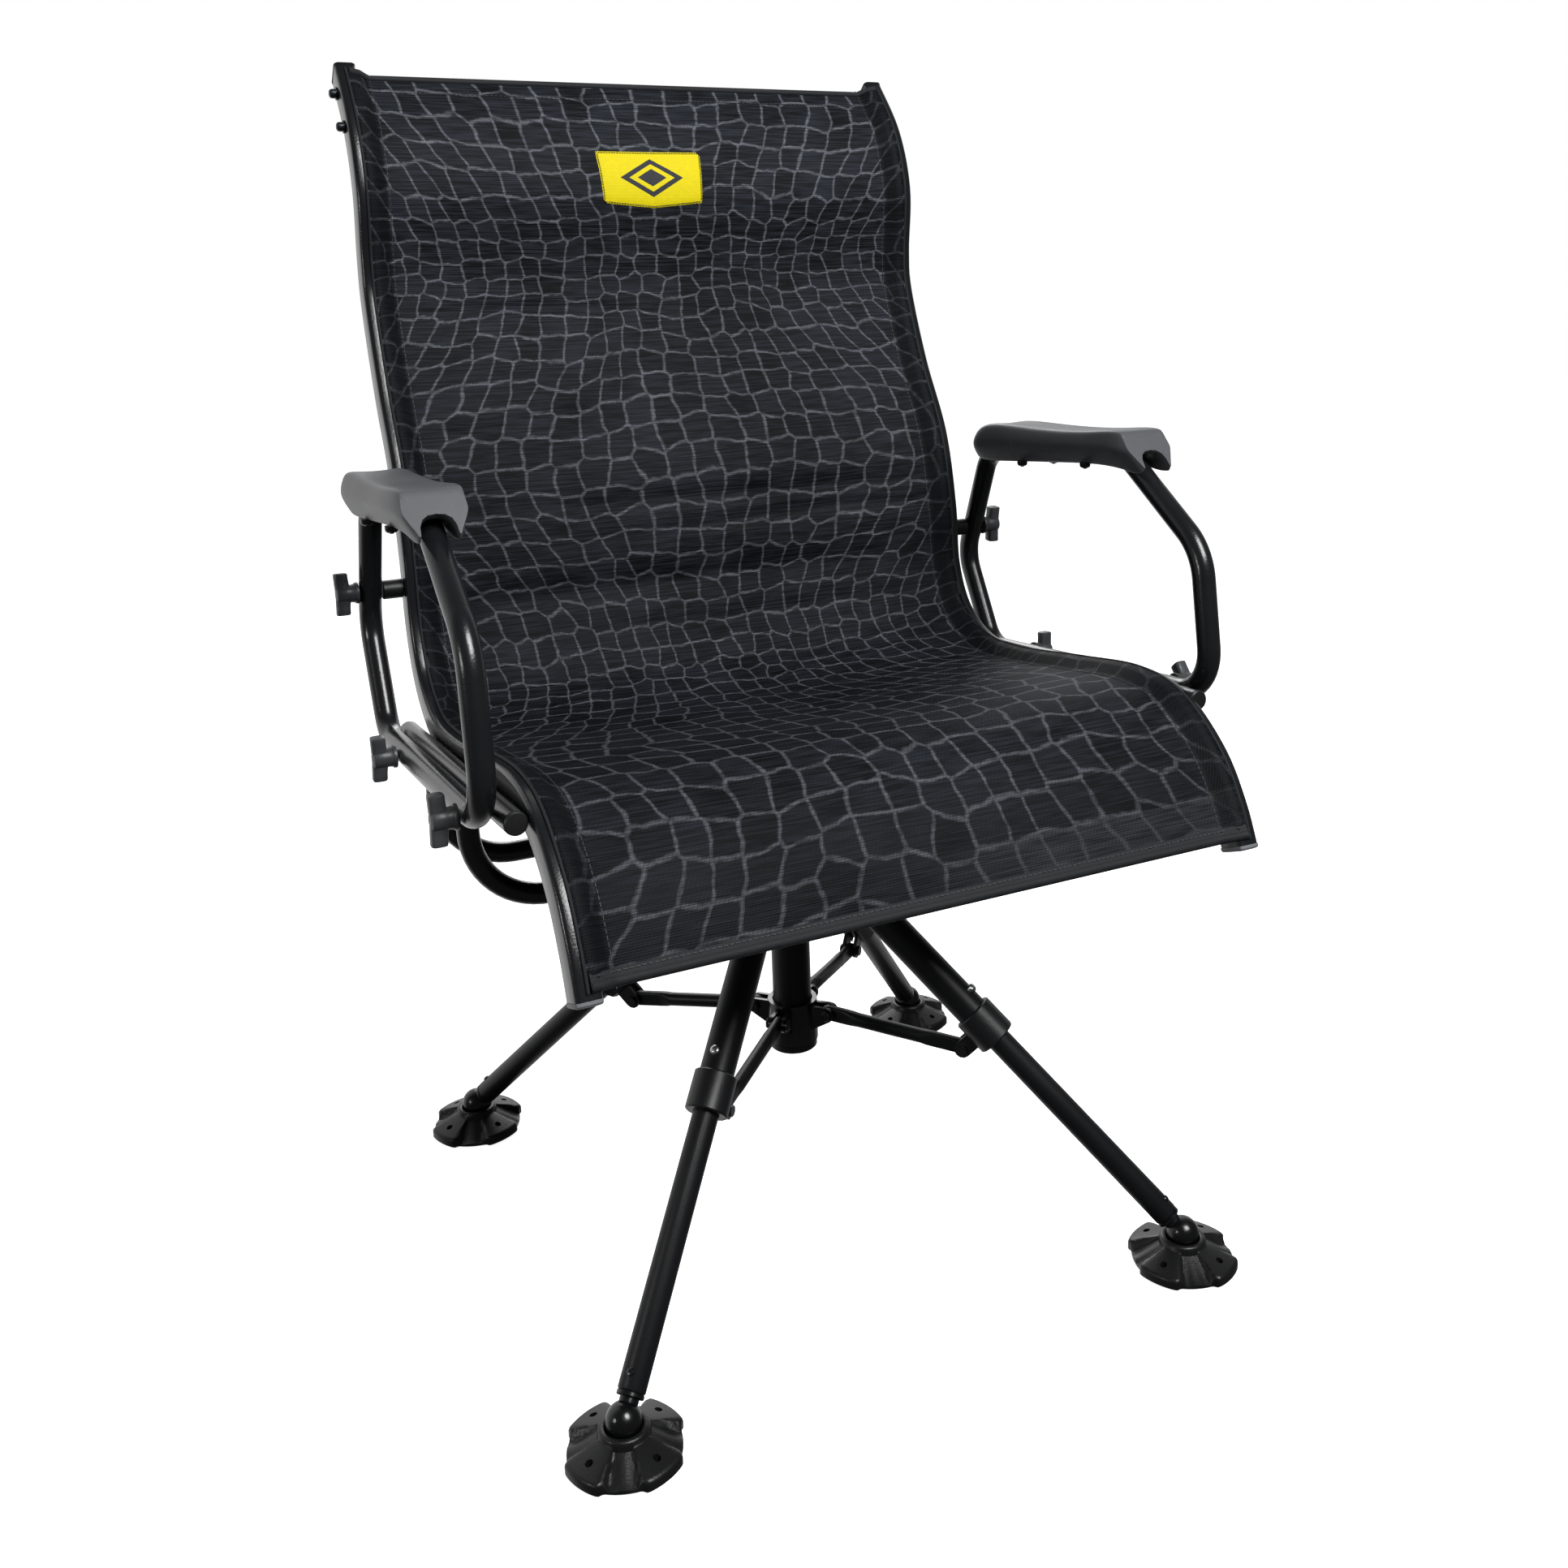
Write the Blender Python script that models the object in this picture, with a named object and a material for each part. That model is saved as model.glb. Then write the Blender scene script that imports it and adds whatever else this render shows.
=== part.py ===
"""Folding swivel chair for a hunting blind: sling seat on a four-legged collapsible base.

Frame: metres, +Z up, the sitter faces -Y, the swivel axis is vertical and the feet stand on z = 0.
"""
import math

import bmesh
import bpy
from mathutils import Matrix
from mathutils import Vector

# ---------------------------------------------------------------- driving dimensions
GAP = 0.0003

# the whole chair is set back so that the middle of its box is over the origin
SWIVEL_Y = -0.0116
# heights in the two main frames are counted from 12.5 mm under the floor
DATUM_Z = -0.0125

# base
BASE_TURN = -2.0
LEG_COUNT = 4
LEG_TOP_R = 0.048
LEG_TOP_Z = 0.2875
BALL_R_POS = 0.311
BALL_Z = 0.035
BALL_RADIUS = 0.012
COLUMN_R = 0.0155
COLUMN_BOTTOM = 0.140
HUB_BOTTOM = 0.2745
HUB_TOP = 0.3050
HUB_CORE_R = 0.033
EAR_GAP = 0.0053
EAR_OUT = 0.0093
UPPER_R = 0.0127
UPPER_BORE = 0.0098
UPPER_START = 0.022
UPPER_END = 0.165
LOWER_R = 0.0095
LOWER_BORE = 0.0075
LOWER_START = 0.036
LOWER_STOP = 0.0165
BUTTON_ALONG = 0.128
LEG_TRAVEL = 0.080
COLLAR_A = 0.141
COLLAR_B = 0.169
COLLAR_R = 0.016
LUG_ALONG = 0.1575
LUG_DROP = 0.0265
SLIDER_PIVOT_R = 0.031
SLIDER_RISE = 0.012
SLIDER_R = 0.020
SLIDER_BORE = 0.0163
PAD_RADIUS = 0.041
PAD_DEEP = BALL_Z + DATUM_Z

# swivel and seat support
BEARING_TOP = 0.3153
PLATE_TOP = 0.3216
PLATE_SIZE = (0.104, 0.150)
U_TUBE_R = 0.0078
U_TUBE_X = 0.2622
U_TUBE_Y = 0.047
U_TUBE_BEND = 0.055

# seat frame: centre lines are (y, z) pairs
RAIL_X = 0.2455
RAIL_HALF_W = 0.0085
RAIL_HALF_D = 0.0118
RAIL_LINE = (
    (0.282, 0.931), (0.247, 0.886), (0.230, 0.835), (0.2345, 0.780), (0.2310, 0.742), (0.205, 0.674),
    (0.172, 0.610), (0.157, 0.545), (0.152, 0.490), (0.131, 0.448), (0.088, 0.4230), (0.030, 0.4205),
    (-0.060, 0.4300), (-0.130, 0.4360), (-0.175, 0.4270), (-0.212, 0.398), (-0.233, 0.366), (-0.244, 0.340),
)
SLING_EDGE = 0.005
SLING_SAG = 0.008
SLING_THICK = 0.002
ARM_X = 0.2792
ARM_R = 0.0088
ARM_CORNERS = (
    (0.1284, 0.5955, 0.030), (0.1705, 0.4953, 0.038), (0.1265, 0.4124, 0.030),
    (-0.1752, 0.4302, 0.035), (-0.1613, 0.5404, 0.050), (-0.0685, 0.6079, 0.025),
)
KNOB_UPPER = (0.1592, 0.522)
KNOB_REAR = {"left": (0.053, 0.4167), "right": (0.074, 0.4155)}
KNOB_FRONT = {"left": (-0.140, 0.4282), "right": (-0.120, 0.4270)}
FRONT_TILT = {"left": 3.0, "right": -42.0}

LEG_LEAN = math.atan2(BALL_R_POS - LEG_TOP_R, LEG_TOP_Z - BALL_Z)
LEG_LENGTH = math.hypot(BALL_R_POS - LEG_TOP_R, LEG_TOP_Z - BALL_Z)


# ---------------------------------------------------------------- helpers
def start_clean():
    for item in list(bpy.data.objects):
        bpy.data.objects.remove(item, do_unlink=True)


def material(name, colour, roughness, metallic):
    mat = bpy.data.materials.new(name)
    mat.use_nodes = True
    shader = mat.node_tree.nodes["Principled BSDF"]
    shader.inputs["Base Color"].default_value = (colour[0], colour[1], colour[2], 1.0)
    shader.inputs["Roughness"].default_value = roughness
    shader.inputs["Metallic"].default_value = metallic
    mat.diffuse_color = (colour[0], colour[1], colour[2], 1.0)
    return mat


def finish_mesh(bm, name):
    bmesh.ops.recalc_face_normals(bm, faces=bm.faces)
    mesh = bpy.data.meshes.new(name)
    bm.to_mesh(mesh)
    bm.free()
    return mesh


def loft(name, rings, closed=False):
    """Skin a row of equal rings; a closed row joins its last ring to its first."""
    bm = bmesh.new()
    loops = []
    for ring in rings:
        loops.append([bm.verts.new(point) for point in ring])
    count = len(loops[0])
    pairs = list(zip(loops[:-1], loops[1:]))
    if closed:
        pairs.append((loops[-1], loops[0]))
    for first, second in pairs:
        for i in range(count):
            j = (i + 1) % count
            bm.faces.new((first[i], first[j], second[j], second[i]))
    if not closed:
        bm.faces.new(tuple(reversed(loops[0])))
        bm.faces.new(tuple(loops[-1]))
    return finish_mesh(bm, name)


def lathe(name, profile, segments, hollow=False):
    """Turn (radius, height) points about Z; a hollow profile is a closed loop round a bore."""
    bm = bmesh.new()
    columns = []
    for s in range(segments):
        angle = 2.0 * math.pi * (s + 0.5) / segments
        column = []
        for radius, height in profile:
            column.append(bm.verts.new((radius * math.cos(angle), radius * math.sin(angle), height)))
        columns.append(column)
    steps = len(profile) if hollow else len(profile) - 1
    for s in range(segments):
        left = columns[s]
        right = columns[(s + 1) % segments]
        for i in range(steps):
            j = (i + 1) % len(profile)
            bm.faces.new((left[i], right[i], right[j], left[j]))
    bmesh.ops.remove_doubles(bm, verts=bm.verts, dist=0.000001)
    return finish_mesh(bm, name)


def prism(name, outline, low, high):
    """A plate: an outline of (x, z) points, from y = low to y = high."""
    near = [Vector((x, low, z)) for x, z in outline]
    far = [Vector((x, high, z)) for x, z in outline]
    return loft(name, [near, far])


def box(name, low, high):
    outline = [(low[0], low[2]), (high[0], low[2]), (high[0], high[2]), (low[0], high[2])]
    return prism(name, outline, low[1], high[1])


def arc(cx, cz, radius, start, stop, steps):
    points = []
    for i in range(steps + 1):
        angle = math.radians(start + (stop - start) * i / steps)
        points.append((cx + radius * math.cos(angle), cz + radius * math.sin(angle)))
    return points


def rounded_path(corners, steps, closed=True):
    """Corners are (a, b, bend radius); each becomes an arc of the given steps."""
    count = len(corners)
    path = []
    for i, (a, b, radius) in enumerate(corners):
        if not closed and i in (0, count - 1):
            path.append((a, b))
            continue
        here = Vector((a, b))
        back = Vector(corners[i - 1][:2]) - here
        ahead = Vector(corners[(i + 1) % count][:2]) - here
        back.normalize()
        ahead.normalize()
        half = 0.5 * back.angle(ahead)
        centre = here + (back + ahead).normalized() * (radius / math.sin(half))
        start = here + back * (radius / math.tan(half))
        stop = here + ahead * (radius / math.tan(half))
        first = start - centre
        sweep = first.angle_signed(stop - centre)
        for k in range(steps + 1):
            turn = -sweep * k / steps
            x = first.x * math.cos(turn) - first.y * math.sin(turn)
            y = first.x * math.sin(turn) + first.y * math.cos(turn)
            path.append((centre.x + x, centre.y + y))
    return path


def spline(points, spacing):
    """A smooth line through the points, resampled at even spacing."""
    fine = []
    last = len(points) - 1
    for i in range(last):
        p0 = Vector(points[max(i - 1, 0)])
        p1 = Vector(points[i])
        p2 = Vector(points[i + 1])
        p3 = Vector(points[min(i + 2, last)])
        for k in range(16):
            t = k / 16.0
            a = p1 * 2.0
            b = (p2 - p0) * t
            c = (p0 * 2.0 - p1 * 5.0 + p2 * 4.0 - p3) * (t * t)
            d = (p1 * 3.0 - p0 - p2 * 3.0 + p3) * (t * t * t)
            fine.append((a + b + c + d) * 0.5)
    fine.append(Vector(points[last]))
    lengths = [0.0]
    for a, b in zip(fine[:-1], fine[1:]):
        lengths.append(lengths[-1] + (b - a).length)
    total = lengths[-1]
    count = max(2, round(total / spacing))
    line = []
    j = 0
    for i in range(count + 1):
        target = total * i / count
        while j < len(lengths) - 2 and lengths[j + 1] < target:
            j += 1
        f = (target - lengths[j]) / (lengths[j + 1] - lengths[j])
        line.append(fine[j].lerp(fine[j + 1], min(max(f, 0.0), 1.0)))
    return line, total


def frames(points, side, closed=False):
    """Point, tangent and outward normal at each point of a planar path; side is the plane's normal."""
    rows = []
    count = len(points)
    for i, point in enumerate(points):
        if closed:
            tangent = points[(i + 1) % count] - points[i - 1]
        else:
            tangent = points[min(i + 1, count - 1)] - points[max(i - 1, 0)]
        tangent.normalize()
        rows.append((point, tangent, tangent.cross(side)))
    return rows


def sweep_section(name, points, side, section, closed=False):
    rings = []
    for point, _tangent, normal in frames(points, side, closed):
        rings.append([point + side * a + normal * b for a, b in section])
    return loft(name, rings, closed)


def circle(radius, segments):
    points = []
    for i in range(segments):
        angle = 2.0 * math.pi * (i + 0.5) / segments
        points.append((radius * math.cos(angle), radius * math.sin(angle)))
    return points


def moved(mesh, matrix):
    mesh.transform(matrix)
    return mesh


def combine(name, base, steps):
    """Join or cut meshes with exact Booleans and return the resulting mesh."""
    body = bpy.data.objects.new(name + "_body", base)
    bpy.context.scene.collection.objects.link(body)
    tools = []
    for number, (operation, mesh) in enumerate(steps):
        tool = bpy.data.objects.new(name + "_tool", mesh)
        bpy.context.scene.collection.objects.link(tool)
        tool.hide_render = True
        tool.display_type = "WIRE"
        tools.append(tool)
        mod = body.modifiers.new("step_" + str(number), "BOOLEAN")
        mod.operation = operation
        mod.solver = "EXACT"
        mod.object = tool
    graph = bpy.context.evaluated_depsgraph_get()
    result = bpy.data.meshes.new_from_object(body.evaluated_get(graph), depsgraph=graph)
    result.name = name
    result.materials.clear()
    for item in [body] + tools:
        bpy.data.objects.remove(item, do_unlink=True)
    return result


def place(name, mesh, mat, location=(0.0, 0.0, 0.0), turn=(0.0, 0.0, 0.0), parent=None, crease=35.0):
    if not mesh.materials:
        mesh.materials.append(mat)
    mesh.shade_smooth()
    mesh.set_sharp_from_angle(angle=math.radians(crease))
    item = bpy.data.objects.new(name, mesh)
    item.location = location
    item.rotation_euler = turn
    item.parent = parent
    bpy.context.scene.collection.objects.link(item)
    return item


def empty(name, location, turn, parent=None):
    return place_empty(bpy.data.objects.new(name, None), location, turn, parent)


def place_empty(item, location, turn, parent):
    item.location = location
    item.rotation_euler = turn
    item.parent = parent
    item.empty_display_size = 0.05
    bpy.context.scene.collection.objects.link(item)
    return item


# ---------------------------------------------------------------- materials
start_clean()
TUBE = material("satin_black_tube", (0.018, 0.019, 0.021), 0.32, 0.55)
FITTING = material("black_fitting", (0.022, 0.023, 0.025), 0.42, 0.3)
BOLT = material("dark_steel_bolt", (0.06, 0.06, 0.065), 0.35, 0.9)
RUBBER = material("grey_rubber", (0.055, 0.057, 0.062), 0.62, 0.0)
PLASTIC = material("grey_plastic", (0.075, 0.078, 0.085), 0.5, 0.0)
MESH_CLOTH = material("sling_mesh", (0.03, 0.034, 0.038), 0.8, 0.0)
PLUG = material("plug_rim", (0.30, 0.31, 0.32), 0.5, 0.0)

Y_TO_X = Matrix.Rotation(math.radians(90.0), 4, "Y")
Z_TO_Y = Matrix.Rotation(math.radians(-90.0), 4, "X")


def rod_y(name, x, z, radius, half, segments=12):
    mesh = lathe(name, [(0.0, -half), (radius, -half), (radius, half), (0.0, half)], segments)
    return moved(mesh, Matrix.Translation((x, 0.0, z)) @ Z_TO_Y)


# ---------------------------------------------------------------- base: column and hub
base = empty("base_frame", (0.0, SWIVEL_Y, DATUM_Z), (0.0, 0.0, math.radians(BASE_TURN)))

column = lathe("center_column", [
    (0.0, COLUMN_BOTTOM), (0.0190, COLUMN_BOTTOM), (0.0190, COLUMN_BOTTOM + 0.006),
    (COLUMN_R, COLUMN_BOTTOM + 0.006), (COLUMN_R, HUB_BOTTOM - GAP), (0.0, HUB_BOTTOM - GAP),
], 24)
place("center_column", column, TUBE, parent=base)

ear_outline = [(0.022, LEG_TOP_Z - 0.0105)] + arc(LEG_TOP_R, LEG_TOP_Z, 0.0105, -90.0, 90.0, 6)
ear_outline.append((0.022, LEG_TOP_Z + 0.0105))
hub_steps = [("UNION", lathe("hub_flange", [
    (0.0, HUB_TOP - 0.0035), (0.046, HUB_TOP - 0.0035), (0.046, HUB_TOP), (0.0, HUB_TOP)], 24))]
hub_cuts = []
for leg in range(LEG_COUNT):
    spin = Matrix.Rotation(math.radians(45.0 + 90.0 * leg), 4, "Z")
    for low, high in ((EAR_GAP, EAR_OUT), (-EAR_OUT, -EAR_GAP)):
        hub_steps.append(("UNION", moved(prism("hub_ear", ear_outline, low, high), spin)))
    hub_cuts.append(("DIFFERENCE", moved(rod_y("hub_hole", LEG_TOP_R, LEG_TOP_Z, 0.0031, 0.02), spin)))
hub_core = lathe("hub_core", [
    (0.0, HUB_BOTTOM), (HUB_CORE_R - 0.003, HUB_BOTTOM), (HUB_CORE_R, HUB_BOTTOM + 0.003),
    (HUB_CORE_R, HUB_TOP - 0.0030), (0.0, HUB_TOP - 0.0030)], 24)
place("leg_hub", combine("leg_hub", hub_core, hub_steps + hub_cuts), FITTING, parent=base)

bearing = lathe("bearing_ring", [
    (0.012, HUB_TOP + GAP), (0.030, HUB_TOP + GAP), (0.030, BEARING_TOP), (0.012, BEARING_TOP)], 24, hollow=True)
place("bearing_ring", bearing, BOLT, parent=base)

# ---------------------------------------------------------------- base: sliding hub with four pinned ears
lean = Vector((math.sin(LEG_LEAN), -math.cos(LEG_LEAN)))
across = Vector((math.cos(LEG_LEAN), math.sin(LEG_LEAN)))
lug = Vector((LEG_TOP_R, LEG_TOP_Z)) + lean * LUG_ALONG - across * LUG_DROP
slider_pivot = Vector((SLIDER_PIVOT_R, lug.y + SLIDER_RISE))
BRACE_LENGTH = (lug - slider_pivot).length
BRACE_DIP = math.atan2(SLIDER_RISE, lug.x - SLIDER_PIVOT_R)

ring_low = COLUMN_BOTTOM + 0.006 + GAP - slider_pivot.y
slider_ring = lathe("slider_ring", [
    (SLIDER_BORE, ring_low), (SLIDER_R, ring_low), (SLIDER_R, 0.009), (SLIDER_BORE, 0.009)], 24, hollow=True)
slider_ear = [(0.0185, -0.014)] + arc(SLIDER_PIVOT_R, 0.0, 0.006, -60.0, 90.0, 6) + [(0.0185, 0.006)]
slider_steps = []
for leg in range(LEG_COUNT):
    spin = Matrix.Rotation(math.radians(45.0 + 90.0 * leg), 4, "Z")
    for low, high in ((0.0035, 0.0065), (-0.0065, -0.0035)):
        slider_steps.append(("UNION", moved(prism("slider_ear", slider_ear, low, high), spin)))
    slider_steps.append(("UNION", moved(rod_y("slider_pin", SLIDER_PIVOT_R, 0.0, 0.0025, 0.0080), spin)))
slider = combine("slider_hub", slider_ring, slider_steps)
place("slider_hub", slider, FITTING, location=(0.0, 0.0, slider_pivot.y), parent=base)

# ---------------------------------------------------------------- base: one leg, in a frame with z up the leg
tongue = arc(0.0, 0.0, 0.0095, 0.0, 180.0, 8) + [(-0.0095, -0.026), (0.0095, -0.026)]
upper_tube = lathe("upper_tube", [
    (0.0, -UPPER_START), (UPPER_R, -UPPER_START), (UPPER_R, -UPPER_END), (UPPER_BORE, -UPPER_END),
    (UPPER_BORE, -0.030), (0.0, -0.030)], 16)
button_hole = moved(
    lathe("button_hole", [(0.0, 0.004), (0.0038, 0.004), (0.0038, 0.020), (0.0, 0.020)], 12),
    Matrix.Translation((0.0, 0.0, -BUTTON_ALONG)) @ Y_TO_X)
upper_leg = combine("upper_leg", upper_tube, [
    ("UNION", prism("tongue", tongue, -0.005, 0.005)),
    ("DIFFERENCE", rod_y("pivot_hole", 0.0, 0.0, 0.0031, 0.02)),
    ("DIFFERENCE", button_hole)])

collar_ring = lathe("collar_ring", [
    (UPPER_R + GAP, -COLLAR_A), (COLLAR_R - 0.001, -COLLAR_A), (COLLAR_R, -COLLAR_A - 0.001),
    (COLLAR_R, -COLLAR_B + 0.001), (COLLAR_R - 0.001, -COLLAR_B), (LOWER_R + 0.0005, -COLLAR_B),
    (LOWER_R + 0.0005, -UPPER_END - 0.0005), (UPPER_R + GAP, -UPPER_END - 0.0005)], 16, hollow=True)
lug_outline = [(-0.0135, -LUG_ALONG + 0.0065)] + arc(-LUG_DROP, -LUG_ALONG, 0.0065, 90.0, 270.0, 6)
lug_outline.append((-0.0135, -LUG_ALONG - 0.0065))
collar_steps = []
for low, high in ((0.0035, 0.0065), (-0.0065, -0.0035)):
    collar_steps.append(("UNION", prism("lug", lug_outline, low, high)))
for low, high in ((0.0060, 0.0090), (-0.0090, -0.0060)):
    head = [(low, 0.0), (low, 0.0042), (high, 0.0042), (high, 0.0)]
    head_mesh = lathe("lug_bolt", [(r, h) for h, r in head], 8)
    shift = Matrix.Translation((-LUG_DROP, 0.0, -LUG_ALONG))
    collar_steps.append(("UNION", moved(head_mesh, shift @ Z_TO_Y)))
split = box("collar_split", (-0.0200, -0.0037, -COLLAR_B - 0.003), (-0.0095, 0.0037, -COLLAR_A + 0.003))
collar_ring = combine("collar_ring", collar_ring, [("DIFFERENCE", split)])
leg_collar = combine("leg_collar", collar_ring, collar_steps)

lower_end = LEG_LENGTH - LOWER_STOP
lower_tube = lathe("lower_tube", [
    (LOWER_BORE, -LOWER_START), (LOWER_R, -LOWER_START), (LOWER_R, -lower_end), (LOWER_BORE, -lower_end)],
    16, hollow=True)
lower_cuts = []
for offset in (0.0, 0.5 * LEG_TRAVEL, LEG_TRAVEL):
    hole = lathe("stop_hole", [(0.0, 0.004), (0.0038, 0.004), (0.0038, 0.014), (0.0, 0.014)], 8)
    shift = Matrix.Translation((0.0, 0.0, -BUTTON_ALONG + offset))
    lower_cuts.append(("DIFFERENCE", moved(hole, shift @ Y_TO_X)))
lower_leg = combine("lower_leg", lower_tube, lower_cuts)

neck = []
for step in range(7):
    angle = math.radians(-90.0 + 147.2 * step / 6)
    neck.append((BALL_RADIUS * math.cos(angle), BALL_RADIUS * math.sin(angle)))
neck[0] = (0.0, -BALL_RADIUS)
neck += [
    (0.0065, 0.0135), (LOWER_R - 0.0003, 0.0135), (LOWER_R - 0.0003, LOWER_STOP - GAP),
    (LOWER_BORE - GAP, LOWER_STOP - GAP), (LOWER_BORE - GAP, 0.034), (0.0, 0.034)]
foot_ball = lathe("foot_ball", neck, 12)

socket = [
    (0.0, -PAD_DEEP), (PAD_RADIUS - 0.001, -PAD_DEEP), (PAD_RADIUS, -PAD_DEEP + 0.001),
    (PAD_RADIUS, -PAD_DEEP + 0.005), (0.033, -0.0130), (0.0215, -0.0092), (0.0175, -0.0060),
    (0.0160, -0.0030)]
for step in range(5):
    angle = math.radians(-9.0 - 81.0 * step / 4)
    socket.append((0.0128 * math.cos(angle), 0.0128 * math.sin(angle)))
socket[-1] = (0.0, -0.0128)
foot_pad = lathe("foot_pad", socket, 16)

button = lathe("snap_button", [
    (0.0, 0.0), (0.0035, 0.0), (0.0035, 0.0052), (0.0022, 0.0064), (0.0, 0.0066)], 12)
moved(button, Y_TO_X)

bolt_shape = [
    (0.0, -0.0127), (0.0055, -0.0127), (0.0055, -0.0097), (0.0029, -0.0097),
    (0.0029, 0.0097), (0.0055, 0.0097), (0.0055, 0.0127), (0.0, 0.0127)]
pivot_bolt = moved(lathe("leg_pivot_bolt", bolt_shape, 12), Z_TO_Y)

# ---------------------------------------------------------------- base: one brace, in a frame with x out along it
rod = lathe("brace_rod", [
    (0.0, 0.016), (0.0045, 0.016), (0.0055, 0.019), (0.0055, BRACE_LENGTH - 0.034),
    (0.0045, BRACE_LENGTH - 0.031), (0.0, BRACE_LENGTH - 0.031)], 12)
moved(rod, Y_TO_X)
inner_tab = arc(0.0, 0.0, 0.006, 90.0, 270.0, 6) + [(0.022, -0.006), (0.026, -0.004), (0.026, 0.004), (0.022, 0.006)]
outer_tab = []
for x, z in arc(0.0, 0.0, 0.006, 90.0, 270.0, 6) + [(0.034, -0.006), (0.038, -0.004), (0.038, 0.004), (0.034, 0.006)]:
    outer_tab.append((BRACE_LENGTH - x, -z))
brace = combine("brace", rod, [
    ("UNION", prism("inner_tab", inner_tab, -0.003, 0.003)),
    ("UNION", prism("outer_tab", outer_tab, -0.003, 0.003)),
    ("DIFFERENCE", rod_y("inner_eye", 0.0, 0.0, 0.0027, 0.02))])

for leg in range(LEG_COUNT):
    number = str(leg + 1)
    heading = math.radians(45.0 + 90.0 * leg)
    radial = Vector((math.cos(heading), math.sin(heading), 0.0))
    pivot = empty(
        "leg_frame_" + number, radial * LEG_TOP_R + Vector((0.0, 0.0, LEG_TOP_Z)), (0.0, -LEG_LEAN, heading), base)
    place("upper_leg_" + number, upper_leg, TUBE, parent=pivot)
    place("leg_collar_" + number, leg_collar, FITTING, parent=pivot)
    place("lower_leg_" + number, lower_leg, TUBE, parent=pivot)
    place("foot_ball_" + number, foot_ball, FITTING, location=(0.0, 0.0, -LEG_LENGTH), parent=pivot)
    place("snap_button_" + number, button, BOLT, location=(0.0099, 0.0, -BUTTON_ALONG), parent=pivot)
    place("leg_pivot_bolt_" + number, pivot_bolt, BOLT, parent=pivot)
    place("foot_pad_" + number, foot_pad, RUBBER, location=radial * BALL_R_POS + Vector((0.0, 0.0, BALL_Z)),
          turn=(0.0, 0.0, heading), parent=base)
    place("brace_" + number, brace, TUBE, location=radial * SLIDER_PIVOT_R + Vector((0.0, 0.0, slider_pivot.y)),
          turn=(0.0, BRACE_DIP, heading), parent=base)

# ---------------------------------------------------------------- seat: swivel plate and the two U tubes
seat = empty("seat_frame", (0.0, SWIVEL_Y, DATUM_Z), (0.0, 0.0, 0.0))
half_x = 0.5 * PLATE_SIZE[0]
half_y = 0.5 * PLATE_SIZE[1]
plate_outline = []
for cx, cy, start in ((1, 1, 0.0), (-1, 1, 90.0), (-1, -1, 180.0), (1, -1, 270.0)):
    plate_outline += arc(cx * (half_x - 0.014), cy * (half_y - 0.014), 0.014, start, start + 90.0, 3)
plate = loft("swivel_plate", [
    [Vector((x, y, BEARING_TOP + GAP)) for x, y in plate_outline],
    [Vector((x, y, PLATE_TOP)) for x, y in plate_outline]])
place("swivel_plate", plate, FITTING, parent=seat)

bar_slope = (ARM_CORNERS[3][1] - ARM_CORNERS[2][1]) / (ARM_CORNERS[3][0] - ARM_CORNERS[2][0])


def bar_height(y):
    return ARM_CORNERS[2][1] + (y - ARM_CORNERS[2][0]) * bar_slope


u_low = PLATE_TOP + GAP + U_TUBE_R
for name, y in (("support_u_front", -U_TUBE_Y), ("support_u_rear", U_TUBE_Y)):
    u_high = bar_height(y) - U_TUBE_R / math.cos(math.atan(bar_slope)) - U_TUBE_R * abs(bar_slope) - GAP
    line = rounded_path([
        (-U_TUBE_X, u_high, 0.0), (-U_TUBE_X, u_low, U_TUBE_BEND), (U_TUBE_X, u_low, U_TUBE_BEND),
        (U_TUBE_X, u_high, 0.0)], 5, closed=False)
    points = [Vector((x, y, z)) for x, z in line]
    u_tube = sweep_section(name, points, Vector((0.0, 1.0, 0.0)), circle(U_TUBE_R, 10))
    place(name, u_tube, TUBE, parent=seat)

# ---------------------------------------------------------------- seat: rails, plugs and stretchers
rail_line, rail_length = spline(RAIL_LINE, 0.033)
w = RAIL_HALF_W
d = RAIL_HALF_D
rail_section = [
    (-w, -d + 0.004), (-w + 0.004, -d), (w - 0.004, -d), (w, -d + 0.004),
    (w, d - 0.004), (w - 0.004, d), (-w + 0.004, d), (-w, d - 0.004)]
sides = (("left", -1.0), ("right", 1.0))
side_normal = Vector((1.0, 0.0, 0.0))
for word, sign in sides:
    points = [Vector((sign * RAIL_X, p.x, p.y)) for p in rail_line]
    rail = sweep_section("seat_rail_" + word, points, side_normal, rail_section)
    place("seat_rail_" + word, rail, TUBE, parent=seat)
    rows = frames(points, side_normal)
    point, tangent, normal = rows[-1]
    rings = []
    for reach, grow in ((GAP, 1.0), (0.0028, 1.0), (0.0040, 0.86)):
        rings.append([point + tangent * reach + side_normal * (a * grow) + normal * (b * grow)
                      for a, b in rail_section])
    place("rail_plug_" + word, loft("rail_plug_" + word, rings), PLUG, parent=seat)

rail_rows = frames([Vector((0.0, p.x, p.y)) for p in rail_line], side_normal)


def row_at(distance):
    index = distance / rail_length * (len(rail_rows) - 1)
    low = min(int(index), len(rail_rows) - 2)
    f = index - low
    point = rail_rows[low][0].lerp(rail_rows[low + 1][0], f)
    normal = rail_rows[low][2].lerp(rail_rows[low + 1][2], f).normalized()
    tangent = rail_rows[low][1].lerp(rail_rows[low + 1][1], f).normalized()
    return point, tangent, normal


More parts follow.
